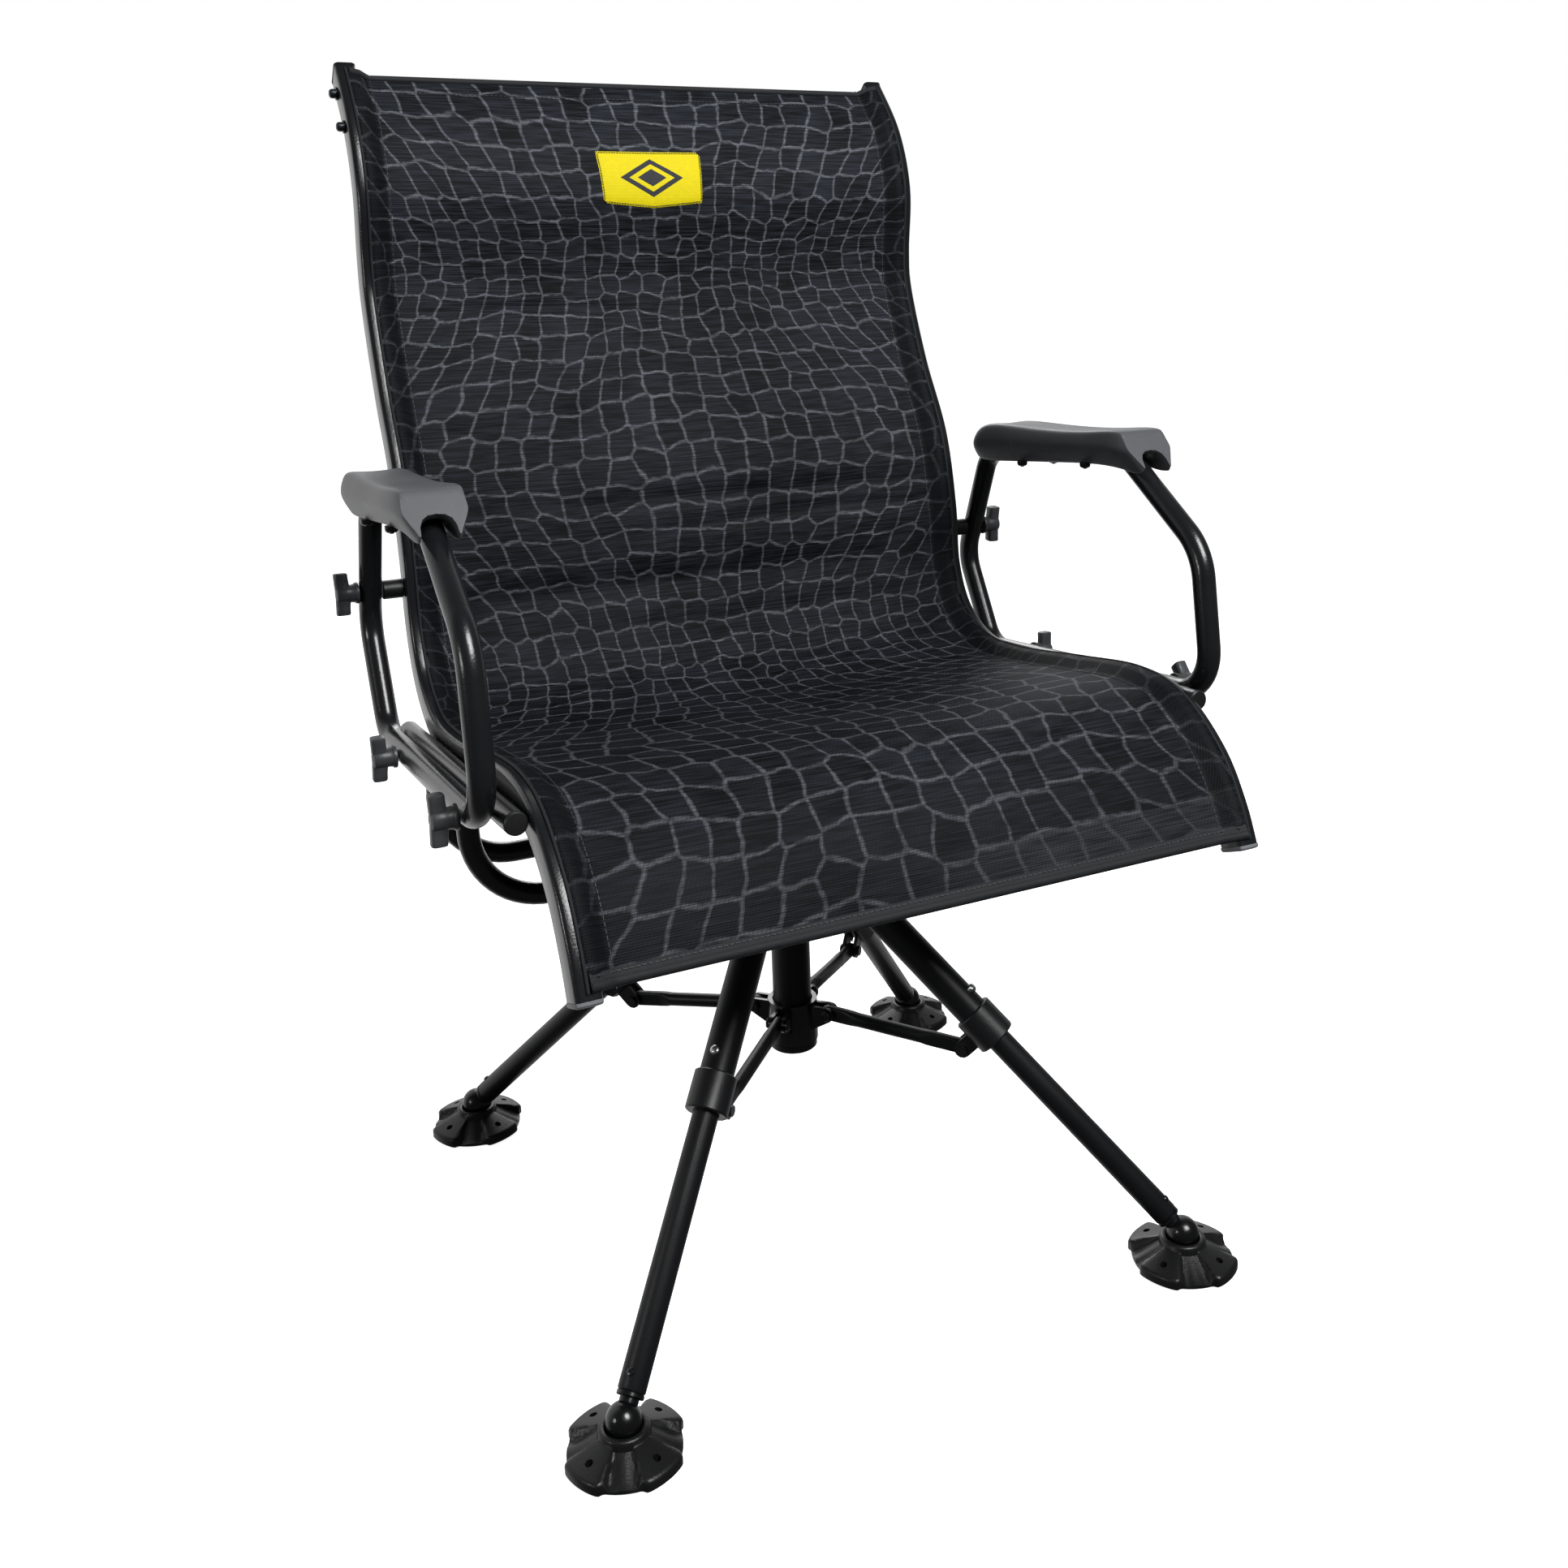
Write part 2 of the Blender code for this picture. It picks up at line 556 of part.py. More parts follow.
inner = RAIL_X - RAIL_HALF_W - GAP
for name, distance, drop, half_t, half_n in (
        ("upper_stretcher", 0.042, -0.0085, 0.017, 0.0045),
        ("front_stretcher", rail_length - 0.020, -0.0060, 0.007, 0.0070)):
    point, tangent, normal = row_at(distance)
    centre = point + normal * drop
    outline = []
    for a, b in circle(1.0, 16):
        outline.append((math.copysign(abs(a) ** 0.7, a) * half_t, math.copysign(abs(b) ** 0.7, b) * half_n))
    rings = []
    for x in (-inner, inner):
        rings.append([Vector((x, 0.0, 0.0)) + centre + tangent * a + normal * b for a, b in outline])
    place(name, loft(name, rings), TUBE, parent=seat)

# ---------------------------------------------------------------- seat: mesh sling
ACROSS = 6
sling_start = 0.006
sling_stop = rail_length - 0.004
stations = 28
rings = []
for i in range(stations + 1):
    share = i / stations
    point, tangent, normal = row_at(sling_start + (sling_stop - sling_start) * share)
    sag = 0.0005 + SLING_SAG * math.sin(math.pi * share) ** 0.8
    top = []
    bottom = []
    for j in range(ACROSS + 1):
        u = -1.0 + 2.0 * j / ACROSS
        lift = SLING_EDGE - sag * (1.0 - u * u)
        base_point = point + Vector((u * inner, 0.0, 0.0))
        top.append(base_point + normal * lift)
        bottom.append(base_point + normal * (lift - SLING_THICK))
    rings.append(top + list(reversed(bottom)))
place("sling", loft("sling", rings), MESH_CLOTH, parent=seat, crease=60.0)

# ---------------------------------------------------------------- seat: side bars, spacers, arm frames
arm_line = rounded_path(ARM_CORNERS, 5)
pad_side = [
    (0.131, 0.5955), (0.130, 0.6065), (0.120, 0.6170), (0.098, 0.6240), (0.070, 0.6245), (0.0366, 0.6235),
    (-0.006, 0.6235), (-0.048, 0.6255), (-0.074, 0.6275), (-0.0890, 0.6262), (-0.1085, 0.6045),
    (-0.1110, 0.5985), (-0.1050, 0.5935), (-0.088, 0.5965), (-0.048, 0.5985), (0.0536, 0.5921), (0.103, 0.5890)]
for word, sign in sides:
    bar_ends = [Vector((sign * U_TUBE_X, y, bar_height(y))) for y in (0.134, 0.0, -0.178)]
    bar = sweep_section("side_bar_" + word, bar_ends, side_normal, circle(U_TUBE_R, 12))
    place("side_bar_" + word, bar, TUBE, parent=seat)

    spacer_from = RAIL_X + RAIL_HALF_W + GAP
    spacer_to = ARM_X - ARM_R - GAP
    spacer = lathe("arm_spacer_" + word, [
        (0.0, spacer_from), (0.0075, spacer_from), (0.0075, spacer_to), (0.0, spacer_to)], 12)
    moved(spacer, Matrix.Rotation(math.radians(90.0 * sign), 4, "Y"))
    place("arm_spacer_" + word, spacer, FITTING, location=(0.0, KNOB_UPPER[0], KNOB_UPPER[1]), parent=seat)

    points = [Vector((sign * ARM_X, y, z)) for y, z in arm_line]
    arm = sweep_section("arm_frame_" + word, points, side_normal, circle(ARM_R, 10), closed=True)
    place("arm_frame_" + word, arm, TUBE, parent=seat)

    channel = sweep_section("pad_channel", points, side_normal, circle(ARM_R + 0.0005, 10), closed=True)
    rings = []
    centre_y = 0.010
    for x, shrink in ((-0.0245, 0.0035), (-0.0205, 0.0), (0.0205, 0.0), (0.0245, 0.0035)):
        ring = []
        for y, z in pad_side:
            fall = min(1.0, abs(y - centre_y) / 0.02)
            ring.append(Vector((sign * ARM_X + x, y - math.copysign(shrink * fall, y - centre_y),
                                z - shrink if z > 0.602 else z)))
        rings.append(ring)
    pad = combine("arm_pad_" + word, loft("pad_body", rings), [("DIFFERENCE", channel)])
    place("arm_pad_" + word, pad, RUBBER, parent=seat)

# ---------------------------------------------------------------- seat: T knobs
knob_hub = lathe("knob_hub", [
    (0.0, 0.0), (0.0075, 0.0), (0.0085, 0.002), (0.0072, 0.005), (0.0072, 0.0085), (0.0, 0.0085)], 12)
bar_side = [
    (0.0062, -0.0155), (0.0077, -0.0165), (0.0162, -0.0165), (0.0182, -0.0070), (0.0182, 0.0070),
    (0.0162, 0.0165), (0.0077, 0.0165), (0.0062, 0.0155)]
knob_bar = loft("knob_bar", [
    [Vector((-0.0055, y, x)) for x, y in bar_side],
    [Vector((0.0055, y, x)) for x, y in bar_side]])
knob = combine("t_knob", knob_hub, [("UNION", knob_bar)])
for word, sign in sides:
    for place_word, (y, z), tilt in (
            ("upper", KNOB_UPPER, 6.0), ("rear", KNOB_REAR[word], -4.0),
            ("front", KNOB_FRONT[word], FRONT_TILT[word])):
        place("t_knob_" + place_word + "_" + word, knob, PLASTIC,
              location=(sign * (ARM_X + ARM_R + GAP), y, z),
              turn=(math.radians(90.0), math.radians(-tilt), math.radians(90.0 * sign)), parent=seat)
bpy.context.view_layer.update()
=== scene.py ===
"""Folding swivel chair for a hunting blind: sling seat on rails, arm loops, and a four-legged folding base."""
from math import atan2, copysign, cos, exp, hypot, pi, radians, sin, tan

import bmesh
import bpy
from mathutils import Matrix
from mathutils import Vector


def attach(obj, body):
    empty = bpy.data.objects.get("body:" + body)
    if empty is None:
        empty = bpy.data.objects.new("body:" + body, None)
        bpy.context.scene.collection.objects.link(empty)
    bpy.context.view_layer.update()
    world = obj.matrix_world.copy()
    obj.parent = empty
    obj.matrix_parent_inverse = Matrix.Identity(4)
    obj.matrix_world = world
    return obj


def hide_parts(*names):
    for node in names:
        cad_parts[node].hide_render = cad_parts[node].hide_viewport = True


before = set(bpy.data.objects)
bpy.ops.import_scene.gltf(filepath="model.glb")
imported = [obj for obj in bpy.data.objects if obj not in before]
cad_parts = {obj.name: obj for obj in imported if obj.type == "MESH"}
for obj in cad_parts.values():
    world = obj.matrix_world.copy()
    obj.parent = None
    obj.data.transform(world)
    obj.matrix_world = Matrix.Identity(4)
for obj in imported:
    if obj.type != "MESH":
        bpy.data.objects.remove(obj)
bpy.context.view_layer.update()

FLOOR_LEVEL = -0.0006
WHITE = (1.0, 1.0, 1.0, 1.0)


def linked(name, data):
    """A new object in the scene."""
    item = bpy.data.objects.new(name, data)
    bpy.context.scene.collection.objects.link(item)
    return item


def turn(degrees, axis):
    return Matrix.Rotation(radians(degrees), 4, axis)


class Thread:
    """A value that runs through a node tree and takes part in arithmetic."""

    def __init__(self, loom, socket):
        self.loom = loom
        self.socket = socket

    def __add__(self, other):
        return self.loom.sum("ADD", self, other)

    def __sub__(self, other):
        return self.loom.sum("SUBTRACT", self, other)

    def __rsub__(self, other):
        return self.loom.sum("SUBTRACT", other, self)

    def __mul__(self, other):
        return self.loom.sum("MULTIPLY", self, other)

    def __truediv__(self, other):
        return self.loom.sum("DIVIDE", self, other)

    __radd__ = __add__
    __rmul__ = __mul__

    def over(self, edge):
        return self.loom.sum("GREATER_THAN", self, edge)

    def held(self):
        return self.loom.sum("MINIMUM", self.loom.sum("MAXIMUM", self, 0.0), 1.0)

    def wave(self):
        return self.loom.sum("SINE", self)

    def ridges(self):
        return self.wave() * 0.5 + 0.5

    def size(self):
        return self.loom.sum("ABSOLUTE", self)

    def parts(self):
        """The first two parts of a vector."""
        first = self.loom.add("ShaderNodeSeparateXYZ", {"Vector": self})
        return first, Thread(self.loom, first.socket.node.outputs["Y"])


class Loom:
    """Builds one node tree, a node at a time."""

    def __init__(self, tree):
        self.tree = tree

    def feed(self, socket, value):
        if isinstance(value, Thread):
            self.tree.links.new(value.socket, socket)
        elif value is not None:
            socket.default_value = value

    def add(self, kind, inputs=None, settings=None, out=0):
        node = self.tree.nodes.new(kind)
        for key, value in (settings or {}).items():
            setattr(node, key, value)
        for key, value in (inputs or {}).items():
            self.feed(node.inputs[key], value)
        return Thread(self, node.outputs[out])

    def sum(self, operation, *values):
        return self.add("ShaderNodeMath", dict(enumerate(values)), {"operation": operation})

    def mix(self, factor, first, second):
        return self.add("ShaderNodeMix", {0: factor, 6: first, 7: second}, {"data_type": "RGBA"}, out=2)

    def layer(self, name):
        return self.add("ShaderNodeUVMap", settings={"uv_map": name})

    def noise(self, place, scale, detail, rough=0.5, flat=False, out=0):
        """Noise over a place; flat noise reads only the first two parts."""
        return self.add("ShaderNodeTexNoise", {"Vector": place, "Scale": scale, "Detail": detail, "Roughness": rough},
                        {"noise_dimensions": "2D" if flat else "3D"}, out)

    def dress(self, shader, colour, rough, height=None, strength=0.0, distance=0.0):
        """Feed a shader its colour, its roughness and its relief."""
        self.feed(shader.inputs["Base Color"], colour)
        self.feed(shader.inputs["Roughness"], rough)
        if height is not None:
            self.feed(shader.inputs["Normal"], self.add("ShaderNodeBump", {
                "Height": height, "Strength": strength, "Distance": distance}))


def blank(name, metallic=0.0, specular=0.5):
    """A new material, its loom, its shader node and its Object coordinates."""
    finish = bpy.data.materials.new(name)
    finish.use_nodes = True
    loom = Loom(finish.node_tree)
    shader = finish.node_tree.nodes["Principled BSDF"]
    shader.inputs["Metallic"].default_value = metallic
    shader.inputs["Specular IOR Level"].default_value = specular
    return finish, loom, shader, loom.add("ShaderNodeTexCoord", out="Object")


# ---- studio
# A pale floor and a white backdrop. One large soft light stands in front, high and a little to the right;
# weak ones fill the left side and the back. The room in front of the chair is dim, the backdrop is bright.
eye = Vector((-0.482, -1.054, 0.7219))
HEADING, DIP, TILT = -25.786, 9.921, -1.891
camera = linked("camera", bpy.data.cameras.new("camera"))
camera.matrix_world = Matrix.Translation(eye) @ turn(HEADING, "Z") @ turn(90.0 - DIP, "X") @ turn(TILT, "Z")
camera.data.sensor_width = 36.0
camera.data.lens = 34.7
camera.data.shift_x = -0.0115
camera.data.shift_y = -0.1381
camera.data.clip_start = 0.05
bpy.context.scene.camera = camera
bpy.context.scene.view_settings.view_transform = "Standard"

surround = bpy.data.worlds.new("surround")
surround.use_nodes = True
loom = Loom(surround.node_tree)
sky = surround.node_tree.nodes["Background"]
gaze = loom.add("ShaderNodeTexCoord", out="Generated").parts()[1]
backdrop = loom.add("ShaderNodeMapRange", {0: gaze, 1: 0.05, 2: 0.75, 3: 0.07, 4: 0.95},
                    {"interpolation_type": "SMOOTHSTEP"})
seen = loom.add("ShaderNodeLightPath", out="Is Camera Ray")
loom.feed(sky.inputs["Color"], WHITE)
loom.feed(sky.inputs["Strength"], loom.add("ShaderNodeMix", {0: seen, 2: backdrop, 3: 1.0}))
bpy.context.scene.world = surround

for name, place, aim, size, power in (
        ("front_softbox", (0.45, -1.95, 2.4), (0.0, -0.05, 0.45), 1.3, 100.0),
        ("left_softbox", (-2.3, -0.5, 0.9), (0.0, 0.0, 0.45), 0.35, 7.5),
        ("back_softbox", (0.8, 2.2, 1.6), (0.0, 0.0, 0.5), 1.2, 18.0)):
    lamp = bpy.data.lights.new(name, "AREA")
    lamp.size = size
    lamp.energy = power
    light = linked(name, lamp)
    light.location = place
    light.rotation_euler = (Vector(aim) - Vector(place)).to_track_quat("-Z", "Y").to_euler()

floor_paint = bpy.data.materials.new("floor_paint")
floor_paint.use_nodes = True
for socket, value in (("Base Color", (0.88, 0.88, 0.88, 1.0)), ("Roughness", 0.9),
                      ("Emission Color", WHITE), ("Emission Strength", 0.9)):
    floor_paint.node_tree.nodes["Principled BSDF"].inputs[socket].default_value = value
floor_mesh = bpy.data.meshes.new("floor")
floor_mesh.from_pydata([(x, y, FLOOR_LEVEL) for x, y in ((-9.0, -9.0), (9.0, -9.0), (9.0, 9.0), (-9.0, 9.0))],
                       [], [(0, 1, 2, 3)])
floor_mesh.materials.append(floor_paint)
floor = linked("floor", floor_mesh)
floor.visible_glossy = False
floor.visible_diffuse = False


# ---- centre column
# The column is one steel tube with a turned flange at its foot that stops the sliding hub. It is powder
# coated in satin black, as all the tubes are, with a slight orange-peel and a few rubbed places.
def grey(value, blue=1.15):
    return (value * (1.92 - 0.92 * blue) ** 0.5, value, value * blue, 1.0)


def powder_coat(name, tone, gloss, specular=0.5):
    """Black powder coat: cloudy tone, orange-peel, and sparse paler rubs."""
    finish, loom, shader, place = blank(name, specular=specular)
    cloud = loom.noise(place, 17.0, 4.0)
    peel = loom.noise(place, 620.0, 2.0)
    dust = loom.noise(place, 150.0, 5.0, 0.7)
    rubs = ((dust - 0.66) * 9.0).held() * ((cloud - 0.47) * 6.0).held()
    body = loom.mix(cloud, grey(tone * 0.72), grey(tone * 1.3))
    loom.dress(shader, loom.mix(rubs * 0.5, body, grey(tone * 3.6, 1.05)), gloss + cloud * 0.12 + rubs * 0.15,
               peel, 0.22, 0.0004)
    return finish


tube_coat = powder_coat("satin_black_tube", 0.009, 0.17)
leg_coat = powder_coat("matt_black_tube", 0.0062, 0.36, specular=0.28)
SHARP = 32.0
SWIVEL = Vector((0.0, -0.0116, -0.0125))
BASE_TURN = radians(-2.0)


def at(x, y, z):
    """A place, from the foot of the swivel's axis."""
    return SWIVEL + Vector((x, y, z))


def shifted(x, y, z):
    return Matrix.Translation(at(x, y, z))


def meshed(name, bm, outward=True):
    """Turn a bmesh into a mesh."""
    if outward:
        bmesh.ops.recalc_face_normals(bm, faces=bm.faces)
    mesh = bpy.data.meshes.new(name)
    bm.to_mesh(mesh)
    bm.free()
    return mesh


def skin(name, rings, closed=False):
    """A mesh over a row of equal rings, capped unless it is closed."""
    bm = bmesh.new()
    loops = [[bm.verts.new(point) for point in ring] for ring in rings]
    pairs = list(zip(loops[:-1], loops[1:]))
    if closed:
        pairs.append((loops[-1], loops[0]))
    for first, second in pairs:
        for i in range(len(first)):
            j = (i + 1) % len(first)
            bm.faces.new((first[i], first[j], second[j], second[i]))
    if not closed:
        bm.faces.new(tuple(reversed(loops[0])))
        bm.faces.new(tuple(loops[-1]))
    return meshed(name, bm)


def turned(name, profile, place=None, segments=48, hollow=False):
    """A turned mesh from (radius, height) points; a hollow one closes its profile round a bore."""
    bm = bmesh.new()
    columns = []
    for s in range(segments):
        angle = 2.0 * pi * (s + 0.5) / segments
        columns.append([bm.verts.new((r * cos(angle), r * sin(angle), h)) for r, h in profile])
    for s in range(segments):
        left, right = columns[s], columns[(s + 1) % segments]
        for i in range(len(profile) if hollow else len(profile) - 1):
            j = (i + 1) % len(profile)
            bm.faces.new((left[i], right[i], right[j], left[j]))
    bmesh.ops.remove_doubles(bm, verts=bm.verts, dist=0.000001)
    if place is not None:
        bm.transform(place)
    return meshed(name, bm)


def fit(name, mesh, finish, body, *nodes, slot=None, crease=SHARP):
    """Hang a finished mesh on its body, in place of the nodes that it stands for."""
    if finish is not None:
        mesh.materials.clear()
        mesh.materials.append(finish)
    mesh.shade_smooth()
    mesh.set_sharp_from_angle(angle=radians(crease))
    item = linked(name, mesh)
    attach(item, body)
    if nodes:
        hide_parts(*nodes)
    return item


base_place = shifted(0.0, 0.0, 0.0) @ Matrix.Rotation(BASE_TURN, 4, "Z")
column_profile = [
    (0.0, 0.143), (0.0128, 0.143), (0.0136, 0.1422), (0.014, 0.14), (0.0182, 0.14), (0.019, 0.1408),
    (0.019, 0.1452), (0.0182, 0.146), (0.0162, 0.1462), (0.0155, 0.147), (0.0155, 0.2742), (0.0, 0.2742)]
fit("column_tube", turned("column_tube", column_profile, base_place), leg_coat, "base", "center_column",
    slot="base_tube")

# ---- fixed hub and pivot bolts
# The hub is a machined block with four pairs of ears, coated in a smoother black than the tubes. A bolt
# with a hex head and a lock nut goes through each pair of ears.
fitting_coat = powder_coat("black_fitting", 0.007, 0.2)


def dressed(name, node, finish, body, slot, width=0.0006):
    """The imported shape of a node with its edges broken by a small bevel."""
    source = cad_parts[node]
    bm = bmesh.new()
    bm.from_mesh(source.data)
    bmesh.ops.remove_doubles(bm, verts=bm.verts, dist=0.00001)
    bmesh.ops.dissolve_limit(bm, angle_limit=0.02, verts=bm.verts, edges=bm.edges)
    item = fit(name, meshed(name, bm, outward=False), finish, body, node, slot=slot)
    bevel = item.modifiers.new("broken_edges", "BEVEL")
    bevel.width = width
    bevel.segments = 2
    bevel.limit_method = "ANGLE"
    bevel.angle_limit = radians(SHARP)
    bevel.use_clamp_overlap = True
    bevel.harden_normals = True
    return item


dressed("fixed_hub", "leg_hub", fitting_coat, "base", "black_fitting")

steel = powder_coat("dark_steel", 0.045, 0.3)
steel.node_tree.nodes["Principled BSDF"].inputs["Metallic"].default_value = 0.85
Z_TO_X = turn(90.0, "Y")
LEG_TOP = (0.048, 0.2875)
BALL = (0.311, 0.035)
LEAN = atan2(BALL[0] - LEG_TOP[0], LEG_TOP[1] - BALL[1])
LEG_LENGTH = hypot(BALL[0] - LEG_TOP[0], LEG_TOP[1] - BALL[1])


def spot(leg, radius, height, dip=0.0):
    """A place on the base at a leg's bearing, with its outward axis dipped."""
    bearing = BASE_TURN + radians(45.0 + 90.0 * leg)
    return (shifted(radius * cos(bearing), radius * sin(bearing), height)
            @ Matrix.Rotation(bearing, 4, "Z") @ Matrix.Rotation(dip, 4, "Y"))


def joined(name, meshes):
    """One mesh out of several separate bodies."""
    bm = bmesh.new()
    for mesh in meshes:
        bm.from_mesh(mesh)
    return meshed(name, bm, outward=False)


def moved(mesh, place):
    """A copy of a mesh at its place."""
    copy = mesh.copy()
    copy.transform(place)
    return copy


ON_LEG = (*LEG_TOP, -LEAN)


def on_legs(name, mesh, finish, body, node, slot, place=ON_LEG, crease=SHARP, spin=0.0):
    """A copy of a mesh on every leg; a name that ends in _ gets the leg's number."""
    for leg in range(4):
        names = [word + str(leg + 1) if word.endswith("_") else word for word in (name, body, node) if word]
        fit(names[0], moved(mesh, spot(leg, *place) @ turn(spin, "Z")), finish, *names[1:], slot=slot,
            crease=crease)


hex_head = turned("hex_head", [
    (0.0, 0.013), (0.0045, 0.013), (0.0054, 0.0124), (0.0054, 0.0102), (0.0, 0.0102)], segments=6)
lock_nut = turned("lock_nut", [
    (0.0, -0.0102), (0.0054, -0.0102), (0.0054, -0.0122), (0.0047, -0.0127), (0.0036, -0.013),
    (0.0034, -0.0132), (0.0, -0.0132)], segments=6)
shank = turned("shank", [
    (0.0, -0.0103), (0.0062, -0.0103), (0.0062, -0.0096), (0.0029, -0.0096), (0.0029, 0.0096),
    (0.0062, 0.0096), (0.0062, 0.0103), (0.0, 0.0103)], segments=24)
bolt_mesh = moved(joined("pivot_bolt", [hex_head, lock_nut, shank]), turn(-90.0, "X"))
on_legs("pivot_bolt_", bolt_mesh, steel, "base", "leg_pivot_bolt_", "dark_steel")

# ---- sliding hub
# A ring that runs on the column as the base folds. Four pairs of ears stand out of it, and a pin with
# turned heads goes through each pair and the flat end of a brace.
dressed("sliding_hub", "slider_hub", fitting_coat, "slider", "black_fitting", width=0.0005)
ear_heads = []
for leg in range(4):
    for way in (-1.0, 1.0):
        head = turned("ear_head", [
            (0.0, 0.0064), (0.0046, 0.0064), (0.0048, 0.007), (0.0046, 0.0088), (0.0036, 0.0097), (0.0022, 0.0099),
            (0.002, 0.009), (0.0, 0.009)], segments=6 if way < 0 else 24)
        head.transform(turn(-90.0 * way, "X"))
        ear_heads.append(moved(head, spot(leg, 0.031, 0.171306)))
fit("ear_screws", joined("ear_screws", ear_heads), steel, "slider", slot="dark_steel")

# ---- upper legs
# Each is a 25 mm steel tube, squeezed flat at the top into a tongue that turns between the hub's ears.


def squircle(half_x, half_y, power, height, count=40):
    """A ring between an ellipse (power 2) and a rounded box, at a height on Z."""
    ring = []
    for i in range(count):
        angle = 2.0 * pi * i / count
        c, s = cos(angle), sin(angle)
        ring.append(Vector((copysign(abs(c) ** (2.0 / power), c) * half_x,
                            copysign(abs(s) ** (2.0 / power), s) * half_y, height)))
    return ring


upper_rows = [
    (0.0094, 0.002, 0.003, 2.6), (0.009, 0.004, 0.0042, 3.0), (0.0078, 0.006, 0.0048, 3.4),
    (0.0055, 0.008, 0.005, 4.0), (0.002, 0.0093, 0.005, 4.6), (0.0, 0.0095, 0.005, 4.6),
    (-0.012, 0.0097, 0.005, 4.6), (-0.018, 0.0104, 0.0054, 4.0), (-0.024, 0.0115, 0.0075, 3.0),
    (-0.03, 0.0123, 0.0103, 2.4), (-0.036, 0.0127, 0.0122, 2.1), (-0.042, 0.0127, 0.0127, 2.0),
    (-0.1644, 0.0127, 0.0127, 2.0), (-0.165, 0.0122, 0.0122, 2.0), (-0.165, 0.0102, 0.0102, 2.0),
    (-0.164, 0.0098, 0.0098, 2.0), (-0.044, 0.0098, 0.0098, 2.0), (-0.042, 0.009, 0.0085, 2.0)]
upper_mesh = skin("upper_leg", [squircle(x, y, power, z) for z, x, y, power in upper_rows])
on_legs("upper_tube_", upper_mesh, leg_coat, "leg_", "upper_leg_", "base_tube")

# ---- leg collars
# A split clamp of moulded nylon round the end of each upper leg. Its two lugs take the brace's outer end,
# and a thinner sleeve below it guides the lower leg.
nylon = powder_coat("black_nylon", 0.0085, 0.34, 0.4)
for number in "1234":
    dressed("collar_" + number, "leg_collar_" + number, nylon, "leg_" + number, "black_fitting", 0.0007)

# ---- lower legs
# A 19 mm tube slides in each upper leg. Three holes take the snap button, and a rivet near the foot holds
# the ball's stem.
lower_end = LEG_LENGTH - 0.0165
SNAP_HEIGHT = -0.128
gloss_black = powder_coat("gloss_black", 0.004, 0.18)
lower_mesh = turned("lower_leg", [
    (0.0075, -0.0368), (0.008, -0.036), (0.009, -0.036), (0.0095, -0.0366), (0.0095, -lower_end + 0.0012),
    (0.0088, -lower_end), (0.0078, -lower_end), (0.0075, -lower_end + 0.0006)], segments=40, hollow=True)


def evaluated(item):
    """The plain mesh that an object's modifiers leave."""
    graph = bpy.context.evaluated_depsgraph_get()
    return bpy.data.meshes.new_from_object(item.evaluated_get(graph), depsgraph=graph)


def bored(name, mesh, drills):
    """Cut holes in a mesh with closed drill shapes."""
    body = linked(name, mesh)
    tools = [linked("drill", drill) for drill in drills]
    for tool in tools:
        cut = body.modifiers.new("hole", "BOOLEAN")
        cut.operation = "DIFFERENCE"
        cut.solver = "EXACT"
        cut.object = tool
    result = evaluated(body)
    for item in [body] + tools:
        bpy.data.objects.remove(item, do_unlink=True)
    return result


drill = turned("drill", [(0.0, 0.004), (0.0038, 0.004), (0.0038, 0.014), (0.0, 0.014)], segments=20)
holes = [moved(drill, Matrix.Translation((0.0, 0.0, SNAP_HEIGHT + step)) @ Z_TO_X) for step in (0.0, 0.04, 0.08)]
lower_mesh = bored("lower_leg", lower_mesh, holes)
rivet = turned("rivet", [
    (0.0, 0.0085), (0.0026, 0.0085), (0.0026, 0.0098), (0.002, 0.0105), (0.001, 0.0108), (0.0, 0.0109)],
    Matrix.Translation((0.0, 0.0, -lower_end + 0.01)) @ Z_TO_X, segments=16)
on_legs("lower_tube_", lower_mesh, leg_coat, "lower_", "lower_leg_", "base_tube")
on_legs("stem_rivet_", rivet, gloss_black, "lower_", None, "black_fitting")

# ---- snap buttons
# A plated spring button stands out of each upper leg just above its collar and sets the leg's length.
plated, loom, shader, place = blank("plated_steel", metallic=1.0)
cloud = loom.noise(place, 220.0, 3.0)
loom.dress(shader, loom.mix(cloud, grey(0.42, 1.02), grey(0.62, 1.02)), 0.22 + cloud * 0.2)
button_mesh = turned("snap_button", [
    (0.0, 0.0), (0.0035, 0.0), (0.0035, 0.0044), (0.0033, 0.0054), (0.0026, 0.0061), (0.0014, 0.0065),
    (0.0, 0.0066)], Matrix.Translation((0.0099, 0.0, SNAP_HEIGHT)) @ Z_TO_X, segments=24)
on_legs("snap_dome_", button_mesh, plated, "button_", "snap_button_", "dark_steel")

# ---- ball ends
# A black ball on a stem with a shoulder, pushed into the end of each lower leg.
ball_profile = [(0.0, -0.012)]
for step in range(1, 15):
    angle = radians(-90.0 + 147.2 * step / 14)
    ball_profile.append((0.012 * cos(angle), 0.012 * sin(angle)))
ball_profile += [
    (0.0065, 0.0115), (0.0065, 0.0131), (0.0086, 0.0133), (0.0093, 0.0138), (0.0093, 0.016), (0.0086, 0.0163),
    (0.0072, 0.0163), (0.0072, 0.034), (0.0, 0.034)]
ball_mesh = turned("ball_end", ball_profile, Matrix.Translation((0.0, 0.0, -LEG_LENGTH)))
on_legs("ball_end_", ball_mesh, gloss_black, "lower_", "foot_ball_", "black_fitting")

# ---- foot pads
# Moulded feet: a cup that snaps over the ball, and four broad raised petals with a drain hole in each. The
# lower facets between them slope down to a thin edge. The underside is flat.
PAD_STEPS = 128
PAD_LOW = -0.0225


